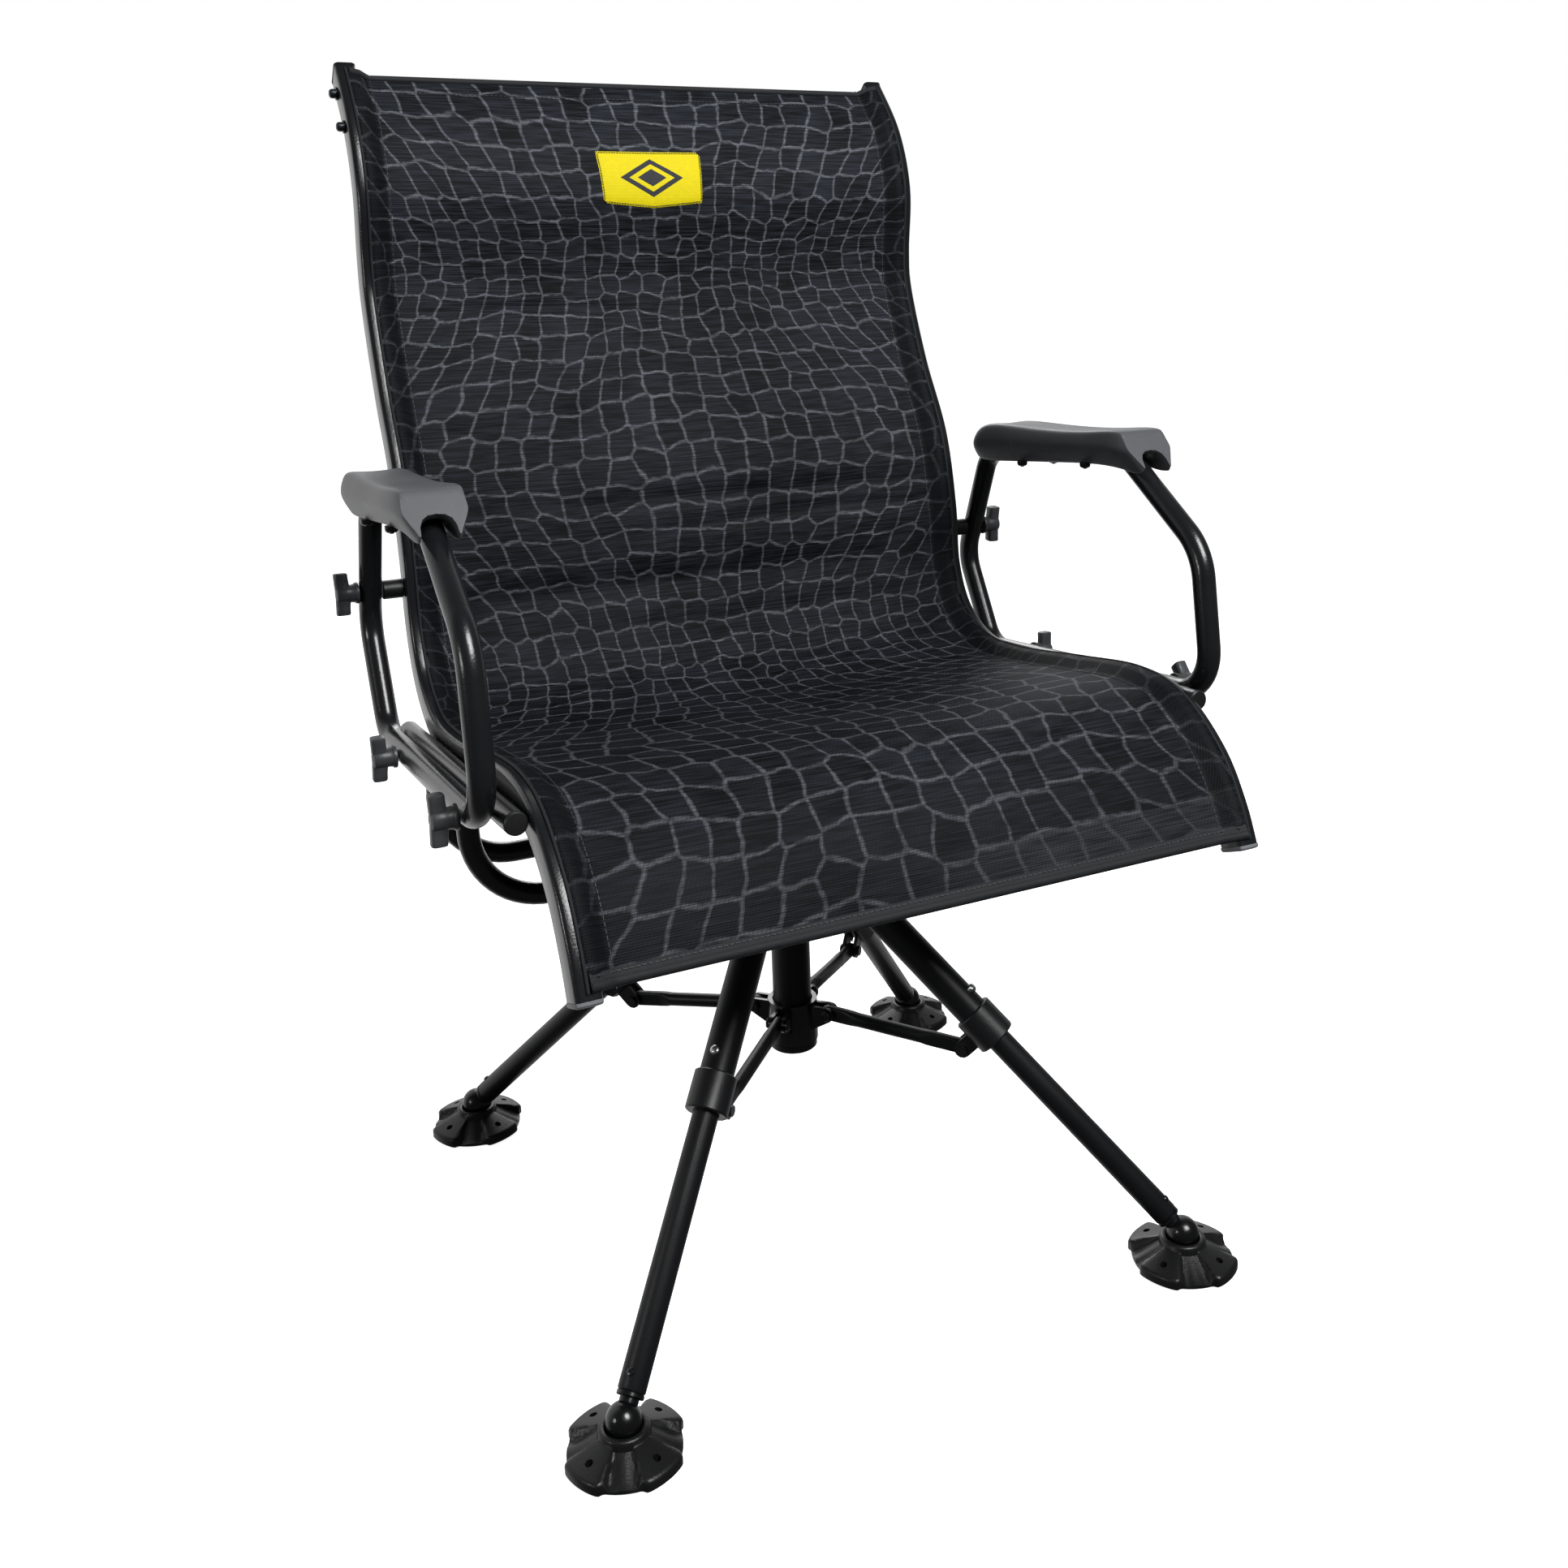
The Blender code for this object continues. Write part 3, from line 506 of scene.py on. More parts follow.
def step_up(value, low, high):
    """0 below low, 1 above high, eased between."""
    share = min(max((value - low) / (high - low), 0.0), 1.0)
    return share * share * (3.0 - 2.0 * share)


rings = []
for step in range(PAD_STEPS):
    angle = 2.0 * pi * step / PAD_STEPS
    wave = cos(4.0 * angle)
    ca, sa = cos(angle), sin(angle)
    column = []
    rim = 0.0378 + 0.003 * step_up(wave, -0.3, 0.1) - 0.0005 * abs(wave)
    for radius, share in ((0.015, 0.0), (rim - 0.0012, 0.0), (rim, 0.05)):
        column.append((radius, 0.0012 if share else 0.0))
    for share in (0.0, 0.02, 0.06, 0.12, 0.22, 0.36, 0.52, 0.68, 0.82, 0.92, 0.97, 1.0):
        radius = rim - (rim - 0.0176) * share
        flank = -0.1 - 0.32 * (1.0 - share)
        lobe = step_up(wave, flank - 0.16, flank + 0.16)
        crown = 0.0078 + 0.008 * share - 0.0016 * (1.0 - min(share / 0.06, 1.0)) ** 2
        facet = 0.0026 + 0.0112 * share ** 1.15 + 0.001 * step_up(-wave, 0.8, 1.0) * (1.0 - share)
        column.append((radius, facet + (crown - facet) * lobe))
    column += [(0.0172, 0.0162), (0.0168, 0.0184), (0.0161, 0.0195), (0.015, 0.0199), (0.0137, 0.0199),
               (0.0129, 0.0196)]
    for notch in range(1, 7):
        fall = radians(-13.0 - 77.0 * notch / 6)
        column.append((max(0.0128 * cos(fall), 0.0006), 0.0225 + 0.0128 * sin(fall)))
    column.append((0.0006, 0.0))
    rings.append([Vector((r * ca, r * sa, h + PAD_LOW)) for r, h in column])
pad_mesh = skin("foot_pad", rings, closed=True)
drains = []
for lobe in range(4):
    tool = turned("drain", [(0.0, -0.04), (0.0026, -0.04), (0.0026, 0.0), (0.0, 0.0)], segments=18)
    drains.append(moved(tool, turn(90.0 * lobe, "Z") @ Matrix.Translation((0.03, 0.0, 0.0))))
pad_mesh = bored("foot_pad", pad_mesh, drains)


def moulded(name, tone, gloss, grain=900.0, depth=0.00025, specular=0.4):
    """Moulded rubber or plastic: a fine pebble, cloudy tone and paler handling marks."""
    finish, loom, shader, place = blank(name, specular=specular)
    cloud = loom.noise(place, 24.0, 5.0)
    pebble = loom.add("ShaderNodeTexVoronoi", {"Vector": place, "Scale": grain}, {"feature": "SMOOTH_F1"})
    marks = ((loom.noise(place, 90.0, 6.0, 0.72) - 0.6) * 7.0).held()
    body = loom.mix(cloud, grey(tone * 0.8, 1.08), grey(tone * 1.22, 1.08))
    loom.dress(shader, loom.mix(marks * 0.35, body, grey(tone * 1.9, 1.04)), gloss + cloud * 0.14 - marks * 0.06,
               pebble, 0.35, depth)
    return finish


foot_rubber = moulded("foot_rubber", 0.0066, 0.3, specular=0.34)
on_legs("foot_", pad_mesh, foot_rubber, "pad_", "foot_pad_", "grey_rubber", BALL, crease=40.0, spin=-20.0)

# ---- braces
# Four thin tubes with squeezed, eyed ends tie the sliding hub to the leg collars.
LUG_DOWN, LUG_IN = 0.1575, 0.0265
lug_r = LEG_TOP[0] + LUG_DOWN * sin(LEAN) - LUG_IN * cos(LEAN)
lug_z = LEG_TOP[1] - LUG_DOWN * cos(LEAN) - LUG_IN * sin(LEAN)
SLIDE = (0.031, lug_z + 0.012)
BRACE_LENGTH = hypot(lug_r - SLIDE[0], SLIDE[1] - lug_z)
BRACE_DIP = atan2(SLIDE[1] - lug_z, lug_r - SLIDE[0])
tab_rows = [
    (-0.006, 0.0016, 0.0024, 2.6), (-0.0055, 0.003, 0.0028, 3.0), (-0.004, 0.0046, 0.003, 3.6),
    (-0.0015, 0.0058, 0.003, 4.4), (0.0, 0.006, 0.003, 4.6), (0.01, 0.006, 0.003, 4.6),
    (0.015, 0.006, 0.0034, 3.8), (0.02, 0.0058, 0.0046, 2.8), (0.026, 0.0055, 0.0055, 2.0)]
long_rows = tab_rows[:-4] + [(x + 0.011 if x > 0.012 else 0.023, a, b, p) for x, a, b, p in tab_rows[-4:]]
long_rows[-1] = (0.0345, 0.0055, 0.0055, 2.0)
brace_rows = tab_rows + [(BRACE_LENGTH - x, a, b, p) for x, a, b, p in reversed(long_rows)]
brace_mesh = skin("brace", [squircle(a, b, p, x, 28) for x, a, b, p in brace_rows])
brace_mesh.transform(Z_TO_X)
on_legs("brace_tube_", brace_mesh, leg_coat, "brace_link_", "brace_", "base_tube", (*SLIDE, BRACE_DIP))

# ---- swivel bearing and plate
# The seat turns on a plated bearing ring. The plate on it is 6 mm steel, bolted up into the two U tubes
# by four button screws, with a large nut on the swivel's axis.
ring_profile = [
    (0.012, 0.3055), (0.0292, 0.3055), (0.03, 0.3062), (0.03, 0.3092), (0.0288, 0.3098), (0.0288, 0.311),
    (0.03, 0.3116), (0.03, 0.3146), (0.0292, 0.3153), (0.012, 0.3153)]
fit("swivel_ring", turned("swivel_ring", ring_profile, base_place, hollow=True), steel, "base", "bearing_ring",
    slot="dark_steel")
dressed("swivel_plate_steel", "swivel_plate", fitting_coat, "seat", "black_fitting", 0.001)
screw = turned("plate_screw", [
    (0.0, -0.003), (0.003, -0.003), (0.0046, -0.0022), (0.005, -0.001), (0.005, 0.0), (0.0, 0.0)], segments=20)
plate_screws = []
for x in (-0.04, 0.04):
    for y in (-0.047, 0.047):
        plate_screws.append(moved(screw, shifted(x, y, 0.3158)))
fit("plate_screws", joined("plate_screws", plate_screws), steel, "seat", slot="dark_steel")

# ---- U tubes and side bars
# Two 16 mm tubes, each bent to a wide U, carry the seat. Their ends are welded under the side bars, which
# run fore and aft between the rails and the arm loops and are closed by plastic plugs.


def rounded_path(corners, steps, closed=True):
    """Corners are (a, b, bend radius); each becomes an arc."""
    count = len(corners)
    path = []
    for i, (a, b, radius) in enumerate(corners):
        if not closed and i in (0, count - 1):
            path.append((a, b))
            continue
        here = Vector((a, b))
        back = (Vector(corners[i - 1][:2]) - here).normalized()
        ahead = (Vector(corners[(i + 1) % count][:2]) - here).normalized()
        half = 0.5 * back.angle(ahead)
        centre = here + (back + ahead).normalized() * (radius / sin(half))
        first = here + back * (radius / tan(half)) - centre
        last = here + ahead * (radius / tan(half)) - centre
        sweep = first.angle_signed(last)
        for k in range(steps + 1):
            turn = -sweep * k / steps
            path.append((centre.x + first.x * cos(turn) - first.y * sin(turn),
                         centre.y + first.x * sin(turn) + first.y * cos(turn)))
    return path


def planted(name, **inputs):
    """A new Geometry Nodes tree with named inputs: the tree, its loom and a thread from each input."""
    tree = bpy.data.node_groups.new(name, "GeometryNodeTree")
    for label, kind in inputs.items():
        tree.interface.new_socket(label, in_out="INPUT", socket_type="NodeSocket" + kind)
    tree.interface.new_socket("Geometry", in_out="OUTPUT", socket_type="NodeSocketGeometry")
    asked = tree.nodes.new("NodeGroupInput")
    loom = Loom(tree)
    return tree, loom, {label: Thread(loom, asked.outputs[label]) for label in inputs}


def ripened(loom, shape, finish):
    """End a tree: real geometry in its finish."""
    shape = loom.add("GeometryNodeRealizeInstances", {"Geometry": shape})
    shape = loom.add("GeometryNodeSetMaterial", {"Geometry": shape, "Material": finish})
    loom.feed(loom.tree.nodes.new("NodeGroupOutput").inputs["Geometry"], shape)


pipe_tree, loom, asked = planted("bent_pipe", Geometry="Geometry", Radius="Float", Sides="Int", Finish="Material")
line = loom.add("GeometryNodeMeshToCurve", {"Mesh": asked["Geometry"]})
hoop = loom.add("GeometryNodeCurvePrimitiveCircle", {"Resolution": asked["Sides"], "Radius": asked["Radius"]})
pipe = loom.add("GeometryNodeCurveToMesh", {"Curve": line, "Profile Curve": hoop, "Fill Caps": True})
ripened(loom, pipe, asked["Finish"])


def grown(name, tree, points, closed, values):
    """Run a path through a Geometry Nodes tree and keep the plain mesh."""
    edges = [(i, i + 1) for i in range(len(points) - 1)]
    if closed:
        edges.append((len(points) - 1, 0))
    guide = bpy.data.meshes.new(name)
    guide.from_pydata([tuple(p) for p in points], edges, [])
    holder = linked(name + "_guide", guide)
    maker = holder.modifiers.new("maker", "NODES")
    maker.node_group = tree
    for item in tree.interface.items_tree:
        if item.item_type == "SOCKET" and item.in_out == "INPUT" and item.name in values:
            maker[item.identifier] = values[item.name]
    mesh = evaluated(holder)
    mesh.name = name
    bpy.data.objects.remove(holder, do_unlink=True)
    return mesh


def piped(name, points, radius, sides, finish, closed=False):
    """A tube or a cord along a path."""
    return grown(name, pipe_tree, points, closed, {"Radius": radius, "Sides": sides, "Finish": finish})


BAR_X = 0.2622
BAR_R = 0.0078
BEAD_R = 0.0079


def bar_z(y):
    """Height of the side bar's centre line at y from the swivel."""
    return 0.413 - (y - 0.116) * 0.059259


weld_beads = []
for word, y in (("front", -0.047), ("rear", 0.047)):
    top = bar_z(y) - 0.0086
    path = rounded_path([
        (-BAR_X, top, 0.0), (-BAR_X, 0.3297, 0.055), (BAR_X, 0.3297, 0.055), (BAR_X, top, 0.0)], 14, closed=False)
    mesh = piped("u_tube", [at(x, y, z) for x, z in path], BAR_R, 32, tube_coat)
    fit("u_tube_" + word, mesh, None, "seat", "support_u_" + word, slot="frame_tube")
    for side in (-1.0, 1.0):
        bead = []
        for step in range(24):
            c, s = cos(step * pi / 12), sin(step * pi / 12)
            bead.append(at(side * BAR_X + BEAD_R * c, y + BEAD_R * s,
                           top - 0.0006 + 0.0009 * abs(c) + 0.0003 * sin(step * 2.9)))
        weld_beads.append(piped("weld", bead, 0.0013, 8, tube_coat, closed=True))
fit("u_tube_welds", joined("u_tube_welds", weld_beads), tube_coat, "seat", slot="frame_tube", crease=60.0)

plug_rim = moulded("plug_rim", 0.16, 0.45)
bar_plug = moulded("bar_plug", 0.008, 0.36)
SIDES = (("left", -1.0), ("right", 1.0))
for word, side in SIDES:
    points = [at(side * BAR_X, y, bar_z(y)) for y in (0.134, 0.0, -0.178)]
    fit("fore_aft_bar_" + word, piped("side_bar", points, BAR_R, 32, tube_coat), None, "seat",
        "side_bar_" + word, slot="frame_tube")
    caps = []
    for y, way in ((-0.178, 1.0), (0.134, -1.0)):
        cap = turned("bar_plug", [
            (0.0, 0.0), (0.0076, 0.0), (0.0076, 0.0012), (0.0066, 0.0022), (0.0, 0.0026)], segments=28)
        caps.append(moved(cap, shifted(side * BAR_X, y, bar_z(y)) @ turn(90.0 * way - 3.4, "X")))
    fit("bar_plugs_" + word, joined("bar_plugs", caps), bar_plug, "seat", slot="grey_plastic")

# ---- seat rails
# One rail a side is bent from seat to back in a long S. It is a drawn section with rounded edges and a
# groove along the sitter's side that holds the sling's corded edge, closed by pale rimmed plugs.
RAIL_X = 0.2455
RAIL_LINE = (
    (0.282, 0.931), (0.247, 0.886), (0.23, 0.835), (0.2345, 0.78), (0.231, 0.742), (0.205, 0.674),
    (0.172, 0.61), (0.157, 0.545), (0.152, 0.49), (0.131, 0.448), (0.088, 0.423), (0.03, 0.4205),
    (-0.06, 0.43), (-0.13, 0.436), (-0.175, 0.427), (-0.212, 0.398), (-0.233, 0.366), (-0.244, 0.34))


def smooth_line(points, count):
    """A smooth line through the points at even spacing, with its length."""
    fine = []
    last = len(points) - 1
    for i in range(last):
        p0, p1 = Vector(points[max(i - 1, 0)]), Vector(points[i])
        p2, p3 = Vector(points[i + 1]), Vector(points[min(i + 2, last)])
        for k in range(24):
            t = k / 24.0
            fine.append(0.5 * (p1 * 2.0 + (p2 - p0) * t + (p0 * 2.0 - p1 * 5.0 + p2 * 4.0 - p3) * t * t
                               + (p1 * 3.0 - p0 - p2 * 3.0 + p3) * t * t * t))
    fine.append(Vector(points[last]))
    lengths = [0.0]
    for a, b in zip(fine[:-1], fine[1:]):
        lengths.append(lengths[-1] + (b - a).length)
    line, j = [], 0
    for i in range(count + 1):
        target = lengths[-1] * i / count
        while j < len(lengths) - 2 and lengths[j + 1] < target:
            j += 1
        line.append(fine[j].lerp(fine[j + 1], (target - lengths[j]) / (lengths[j + 1] - lengths[j])))
    return line, lengths[-1]


RAIL_STEPS = 260
rail_line, RAIL_LENGTH = smooth_line(RAIL_LINE, RAIL_STEPS)
rail_rows = []
for i, p in enumerate(rail_line):
    run = rail_line[min(i + 2, RAIL_STEPS)] - rail_line[max(i - 2, 0)]
    along = Vector((0.0, run.x, run.y)).normalized()
    rail_rows.append((at(0.0, p.x, p.y), along, along.cross(Vector((1.0, 0.0, 0.0)))))


def rail_at(distance):
    """Point, direction and sitter's side normal at a distance along the rail."""
    share = min(max(distance / RAIL_LENGTH * RAIL_STEPS, 0.0), RAIL_STEPS - 0.0001)
    i = int(share)
    return tuple(a.lerp(b, share - i) for a, b in zip(rail_rows[i], rail_rows[i + 1]))


rail_section = [
    (-0.0085, -0.0084), (-0.0081, -0.0101), (-0.007, -0.0112), (-0.0052, -0.0118), (0.0052, -0.0118),
    (0.007, -0.0112), (0.0081, -0.0101), (0.0085, -0.0084), (0.0085, 0.0084), (0.0081, 0.0101),
    (0.007, 0.0112), (0.0052, 0.0118), (-0.0052, 0.0118), (-0.007, 0.0112), (-0.0081, 0.0101),
    (-0.0085, 0.0084)]
for word, side in SIDES:
    rings = []
    for point, along, normal in rail_rows[::2]:
        rings.append([point + Vector((side * (RAIL_X + a), 0.0, 0.0)) + normal * b for a, b in rail_section])
    fit("rail_" + word, skin("rail", rings), tube_coat, "seat", "seat_rail_" + word, slot="frame_tube", crease=50.0)
    for (point, along, normal), way, length in ((rail_rows[-1], 1.0, 1.0), (rail_rows[0], -1.0, 0.7)):
        rings = []
        for reach, grow in ((0.0002, 1.03), (0.0022, 1.03), (0.0032, 0.97), (0.0037, 0.84), (0.0022, 0.76)):
            rings.append([point + along * (reach * length * way) + Vector((side * (RAIL_X + a * grow), 0.0, 0.0))
                          + normal * b * grow for a, b in (
                (-0.0085, -0.0088), (-0.0078, -0.0106), (-0.0055, -0.0118), (0.0055, -0.0118),
                (0.0078, -0.0106), (0.0085, -0.0088), (0.0085, 0.0088), (0.0078, 0.0106), (0.0055, 0.0118),
                (-0.0055, 0.0118), (-0.0078, 0.0106), (-0.0085, 0.0088))])
        mesh = skin("rail_plug", rings)
        if way > 0.0:
            fit("rail_foot_plug_" + word, mesh, plug_rim, "seat", "rail_plug_" + word, slot="plug_rim")
        else:
            fit("rail_top_plug_" + word, mesh, bar_plug, "seat", slot="grey_plastic")

# ---- stretchers and their bolts
# An oval bar behind the head of the back and a round one under the front edge hold the rails apart. Each
# end is fixed through the rail by bolts whose dark heads stand out on the outer side.
INNER = 0.2367
RAIL_OUTSIDE = 0.2541
for name, node, distance, drop, half_t, half_n, power in (
        ("head_stretcher", "upper_stretcher", 0.042, -0.0085, 0.017, 0.0045, 3.0),
        ("knee_stretcher", "front_stretcher", RAIL_LENGTH - 0.02, -0.006, 0.007, 0.007, 2.0)):
    point, along, normal = rail_at(distance)
    rings = []
    for x in (-INNER, INNER):
        rings.append([point + normal * drop + Vector((x, 0.0, 0.0)) + along * p.x + normal * p.y
                      for p in squircle(half_t, half_n, power, 0.0)])
    fit(name, skin(name, rings), tube_coat, "seat", node, slot="frame_tube")
rail_bolt = turned("rail_bolt", [
    (0.0, 0.0), (0.005, 0.0), (0.0052, 0.0006), (0.0052, 0.0012), (0.0038, 0.0014), (0.0038, 0.0042),
    (0.0034, 0.0054), (0.0024, 0.0062), (0.0, 0.0065)], segments=24)
for word, side in SIDES:
    bolts = []
    for distance in (0.02, 0.056):
        point, along, normal = rail_at(distance)
        shift = Matrix.Translation(point + Vector((side * RAIL_OUTSIDE, 0.0, 0.0)) + normal * -0.002)
        bolts.append(moved(rail_bolt, shift @ turn(90.0 * side, "Y")))
    fit("rail_bolts_" + word, joined("rail_bolts", bolts), steel, "seat", slot="dark_steel")

# ---- sling
# One length of coated polyester mesh is stretched between the rails. It is printed with a pale crackle like
# reptile hide over a near-black ground, and falls in shallow folds at the small of the back.
SLING_TOP, SLING_END = 0.006, RAIL_LENGTH - 0.004
CLOTH_EDGE = 0.2467
CLOTH_THICK = 0.0012
FOLDS = ((0.3, -0.9, 0.0026, 0.007), (0.385, 0.25, 0.0042, 0.008), (0.412, 0.6, 0.0036, 0.007),
         (0.455, -0.2, 0.0046, 0.01), (0.492, 0.3, 0.0038, 0.009), (0.215, -0.6, 0.003, 0.006),
         (0.08, 0.2, 0.0012, 0.01), (0.535, 0.1, 0.002, 0.012))


def sling_at(u, distance, rise=0.0):
    """A place on the sling; u runs from -1 on the left edge to 1 on the right."""
    point, along, normal = rail_at(distance)
    share = min(max((distance - SLING_TOP) / (SLING_END - SLING_TOP), 0.0), 1.0)
    sag = 0.0005 + 0.008 * sin(pi * share) ** 0.8 * max(1.0 - (u * CLOTH_EDGE / INNER) ** 2, 0.0)
    climb = min(max((abs(u) * CLOTH_EDGE - 0.229) / 0.011, 0.0), 1.0)
    sag -= 0.0079 * climb * climb * (3.0 - 2.0 * climb)
    for middle, lean, depth, width in FOLDS:
        bend = middle + 0.012 * lean * sin(2.6 * u + 5.0 * lean) + 0.006 * u * u
        reach = exp(-((u - lean) / 0.75) ** 2)
        sag += depth * reach * (1.0 - u ** 6) * exp(-((distance - bend) / width) ** 2)
    return point + normal * (0.005 - sag + rise) + Vector((CLOTH_EDGE * u, 0.0, 0.0))


def cell_size(distance):
    """How large the printed cells are, down the length of the sling."""
    share = distance / RAIL_LENGTH
    return 0.0205 + 0.0035 * cos(share * 17.0) + 0.011 * max(share - 0.62, 0.0) / 0.38


weave, loom, shader, place = blank("printed_mesh", specular=0.08)
cloth = loom.layer("cloth")
across, down = cloth.parts()
cells = loom.layer("cells")
shift = cells
for noise, reach in ((loom.noise(cells, 0.19, 1.0, flat=True, out=1), (1.0, 1.3, 0.0)),
                     (loom.noise(cells, 1.4, 2.0, flat=True, out=1), (0.22, 0.22, 0.0))):
    shift = loom.add("ShaderNodeVectorMath", {0: noise, 1: reach, 2: shift}, {"operation": "MULTIPLY_ADD"})
edge, tint = [
    loom.add("ShaderNodeTexVoronoi", {"Vector": shift, "Scale": 1.0, "Randomness": 0.38},
             {"feature": feature, "voronoi_dimensions": "2D"}, out)
    for feature, out in (("DISTANCE_TO_EDGE", 0), ("F1", 1))]
tint = loom.add("ShaderNodeSeparateColor", {"Color": tint})
gaps = ((loom.noise(cells, 3.1, 3.0, flat=True) - 0.36) * 8.0).held()
cracks = (1.0 - ((edge - 0.018) / 0.062).held()) * (0.6 + gaps * 0.4)
stretch = loom.add("ShaderNodeVectorMath", {0: cloth, 1: (28.0, 620.0, 1.0)}, {"operation": "MULTIPLY"})
streak = loom.noise(stretch, 1.0, 3.0, flat=True)
patch = loom.noise(cloth, 7.5, 4.0, flat=True)
yarn = (down * 3900.0).ridges()
warp = (across * 3900.0 + down * 1300.0).ridges()
bars = ((streak - 0.38) * 3.6).held()
twill = (across * 2100.0 + down * 1250.0).ridges()
ground = loom.mix((tint * 0.3 + bars * 0.62 + patch * 0.5 - 0.3).held(), grey(0.0018, 1.4), grey(0.04, 1.34))
lines = loom.mix((bars * 0.7 + patch * 0.5 - 0.15).held(), grey(0.105, 1.16), grey(0.23, 1.13))
print_colour = loom.mix(cracks * (0.74 + 0.26 * bars), ground, lines)
front_band = ((down - 0.9175) / 0.0015).held() * ((across + 0.02) / 0.1).held()
# Painted shade: the print grows darker from the head of the back down to the seat, and darker again at the front lip,
# where the seat lies in shade under the high front light.
painted_shade = (((down - 0.1) / 0.34).held() * 0.3 + ((down - 0.86) / 0.05).held() * 0.18 - 0.02).held()
hem = ((across.size() - 0.2285) / 0.0015).held() * (1.0 - ((across.size() - 0.244) / 0.001).held())
# Mixed over the print in turn: a paler front band, the painted shade together with the twill weave, the yarn, and the
# darker doubled hems.
for share, colour in ((front_band * (0.25 + 0.5 * bars), grey(0.085, 1.14)),
                      ((painted_shade + twill * 0.14).held(), grey(0.0015, 1.3)),
                      ((yarn * 0.35 + warp * 0.2).held(), grey(0.006, 1.1)),
                      (hem * 0.72, grey(0.004, 1.2))):
    print_colour = loom.mix(share, print_colour, colour)
loom.dress(shader, print_colour, 0.5 + streak * 0.18 - cracks * 0.06,
           yarn * 0.5 + warp * 0.35 + streak * 0.5 + cracks * 0.15, 0.42, 0.0005)


def woven(name, rows, *layers):
    """A mesh over rows of (place, coordinates on each layer)."""
    bm = bmesh.new()
    maps = [bm.loops.layers.uv.new(layer) for layer in layers]
    grid = [[(bm.verts.new(place), where) for place, *where in row] for row in rows]
    for first, second in zip(grid[:-1], grid[1:]):
        for k in range(len(first) - 1):
            corners = (first[k], second[k], second[k + 1], first[k + 1])
            face = bm.faces.new([vert for vert, where in corners])
            for loop, (vert, where) in zip(face.loops, corners):
                for layer, uv in zip(maps, where):
                    loop[layer].uv = uv
    return meshed(name, bm, outward=False)


CLOTH_ROWS, CLOTH_COLS = 250, 100
cell_down = cloth_down = 0.0
last = SLING_TOP
rows = []
for r in range(CLOTH_ROWS + 1):
    distance = SLING_TOP + (SLING_END - SLING_TOP) * r / CLOTH_ROWS
    cell_down += (distance - last) / cell_size((last + distance) * 0.5)
    cloth_down += (sling_at(0.0, distance) - sling_at(0.0, last)).length
    last = distance
    rows.append([])
    for c in range(CLOTH_COLS + 1):
        u = -1.0 + 2.0 * c / CLOTH_COLS
        x = CLOTH_EDGE * u
        rows[-1].append((sling_at(u, distance), (x, cloth_down), (x / cell_size(distance), cell_down)))
mesh = woven("sling", rows, "cloth", "cells")
sling = fit("sling", mesh, weave, "seat", "sling", slot="sling_mesh", crease=180.0)
sling.modifiers.new("thickness", "SOLIDIFY").thickness = CLOTH_THICK
sling.modifiers["thickness"].offset = 0.0

# ---- sling edges, hems and stitching
# The long edges are doubled into hems, sewn with one row of thread, and wrap over the inner half of each
# rail. The head and the front edge are rolled, and the front is bound in black webbing.
webbing, loom, shader, place = blank("black_webbing", specular=0.3)
across, down = loom.layer("cloth").parts()
rib = (down * 2600.0 + across * 1700.0).ridges() * (down * 2600.0 - across * 1700.0).ridges()
fuzz = loom.noise(place, 210.0, 4.0)
loom.dress(shader, loom.mix((rib * 0.6 + fuzz * 0.5).held(), grey(0.006), grey(0.024)), 0.62 + fuzz * 0.2,
           rib + fuzz * 0.4, 0.4, 0.0004)
thread_finish, loom, shader, place = blank("sewing_thread", specular=0.35)
twist = loom.noise(place, 900.0, 2.0)
loom.dress(shader, loom.mix(twist, grey(0.022), grey(0.06)), 0.5 + twist * 0.2)

stitch_tree, loom, asked = planted(
    "stitch_row", Geometry="Geometry", Pitch="Float", Stitch="Float", Thickness="Float", Finish="Material")
line = loom.add("GeometryNodeMeshToCurve", {"Mesh": asked["Geometry"]})
spots = loom.add("GeometryNodeResampleCurve", {"Curve": line, "Length": asked["Pitch"]}, {"mode": "LENGTH"})
pin = loom.add("GeometryNodeMeshCylinder", {
    "Vertices": 6, "Radius": asked["Thickness"], "Depth": asked["Stitch"]})
points = loom.add("GeometryNodeCurveToPoints", {"Curve": spots}, {"mode": "EVALUATED"})
turns = Thread(loom, points.socket.node.outputs["Rotation"])
row = loom.add("GeometryNodeInstanceOnPoints", {"Points": points, "Instance": pin, "Rotation": turns})
ripened(loom, row, asked["Finish"])
STITCH = {"Pitch": 0.004, "Stitch": 0.0028, "Thickness": 0.00042, "Finish": thread_finish}


def course(side, distance, rise=0.0, steps=60):
    """A path across the sling, from side to side at a distance."""
    return [sling_at(-side + 2.0 * side * k / steps, distance, rise) for k in range(steps + 1)]


edge_rows = [SLING_TOP + (SLING_END - SLING_TOP) * r / 240 for r in range(241)]
for word, side in SIDES:
    path = [sling_at(side * 0.998, distance, 0.0004) for distance in edge_rows]
    fit("edge_cord_" + word, piped("edge_cord", path, 0.0011, 12, webbing), None, "seat", slot="sling_mesh")
    path = [sling_at(side * 0.2272 / CLOTH_EDGE, distance, 0.0008) for distance in edge_rows]
    fit("edge_stitches_" + word, grown("edge_stitches", stitch_tree, path, False, STITCH), None, "seat",
        slot="sling_mesh")

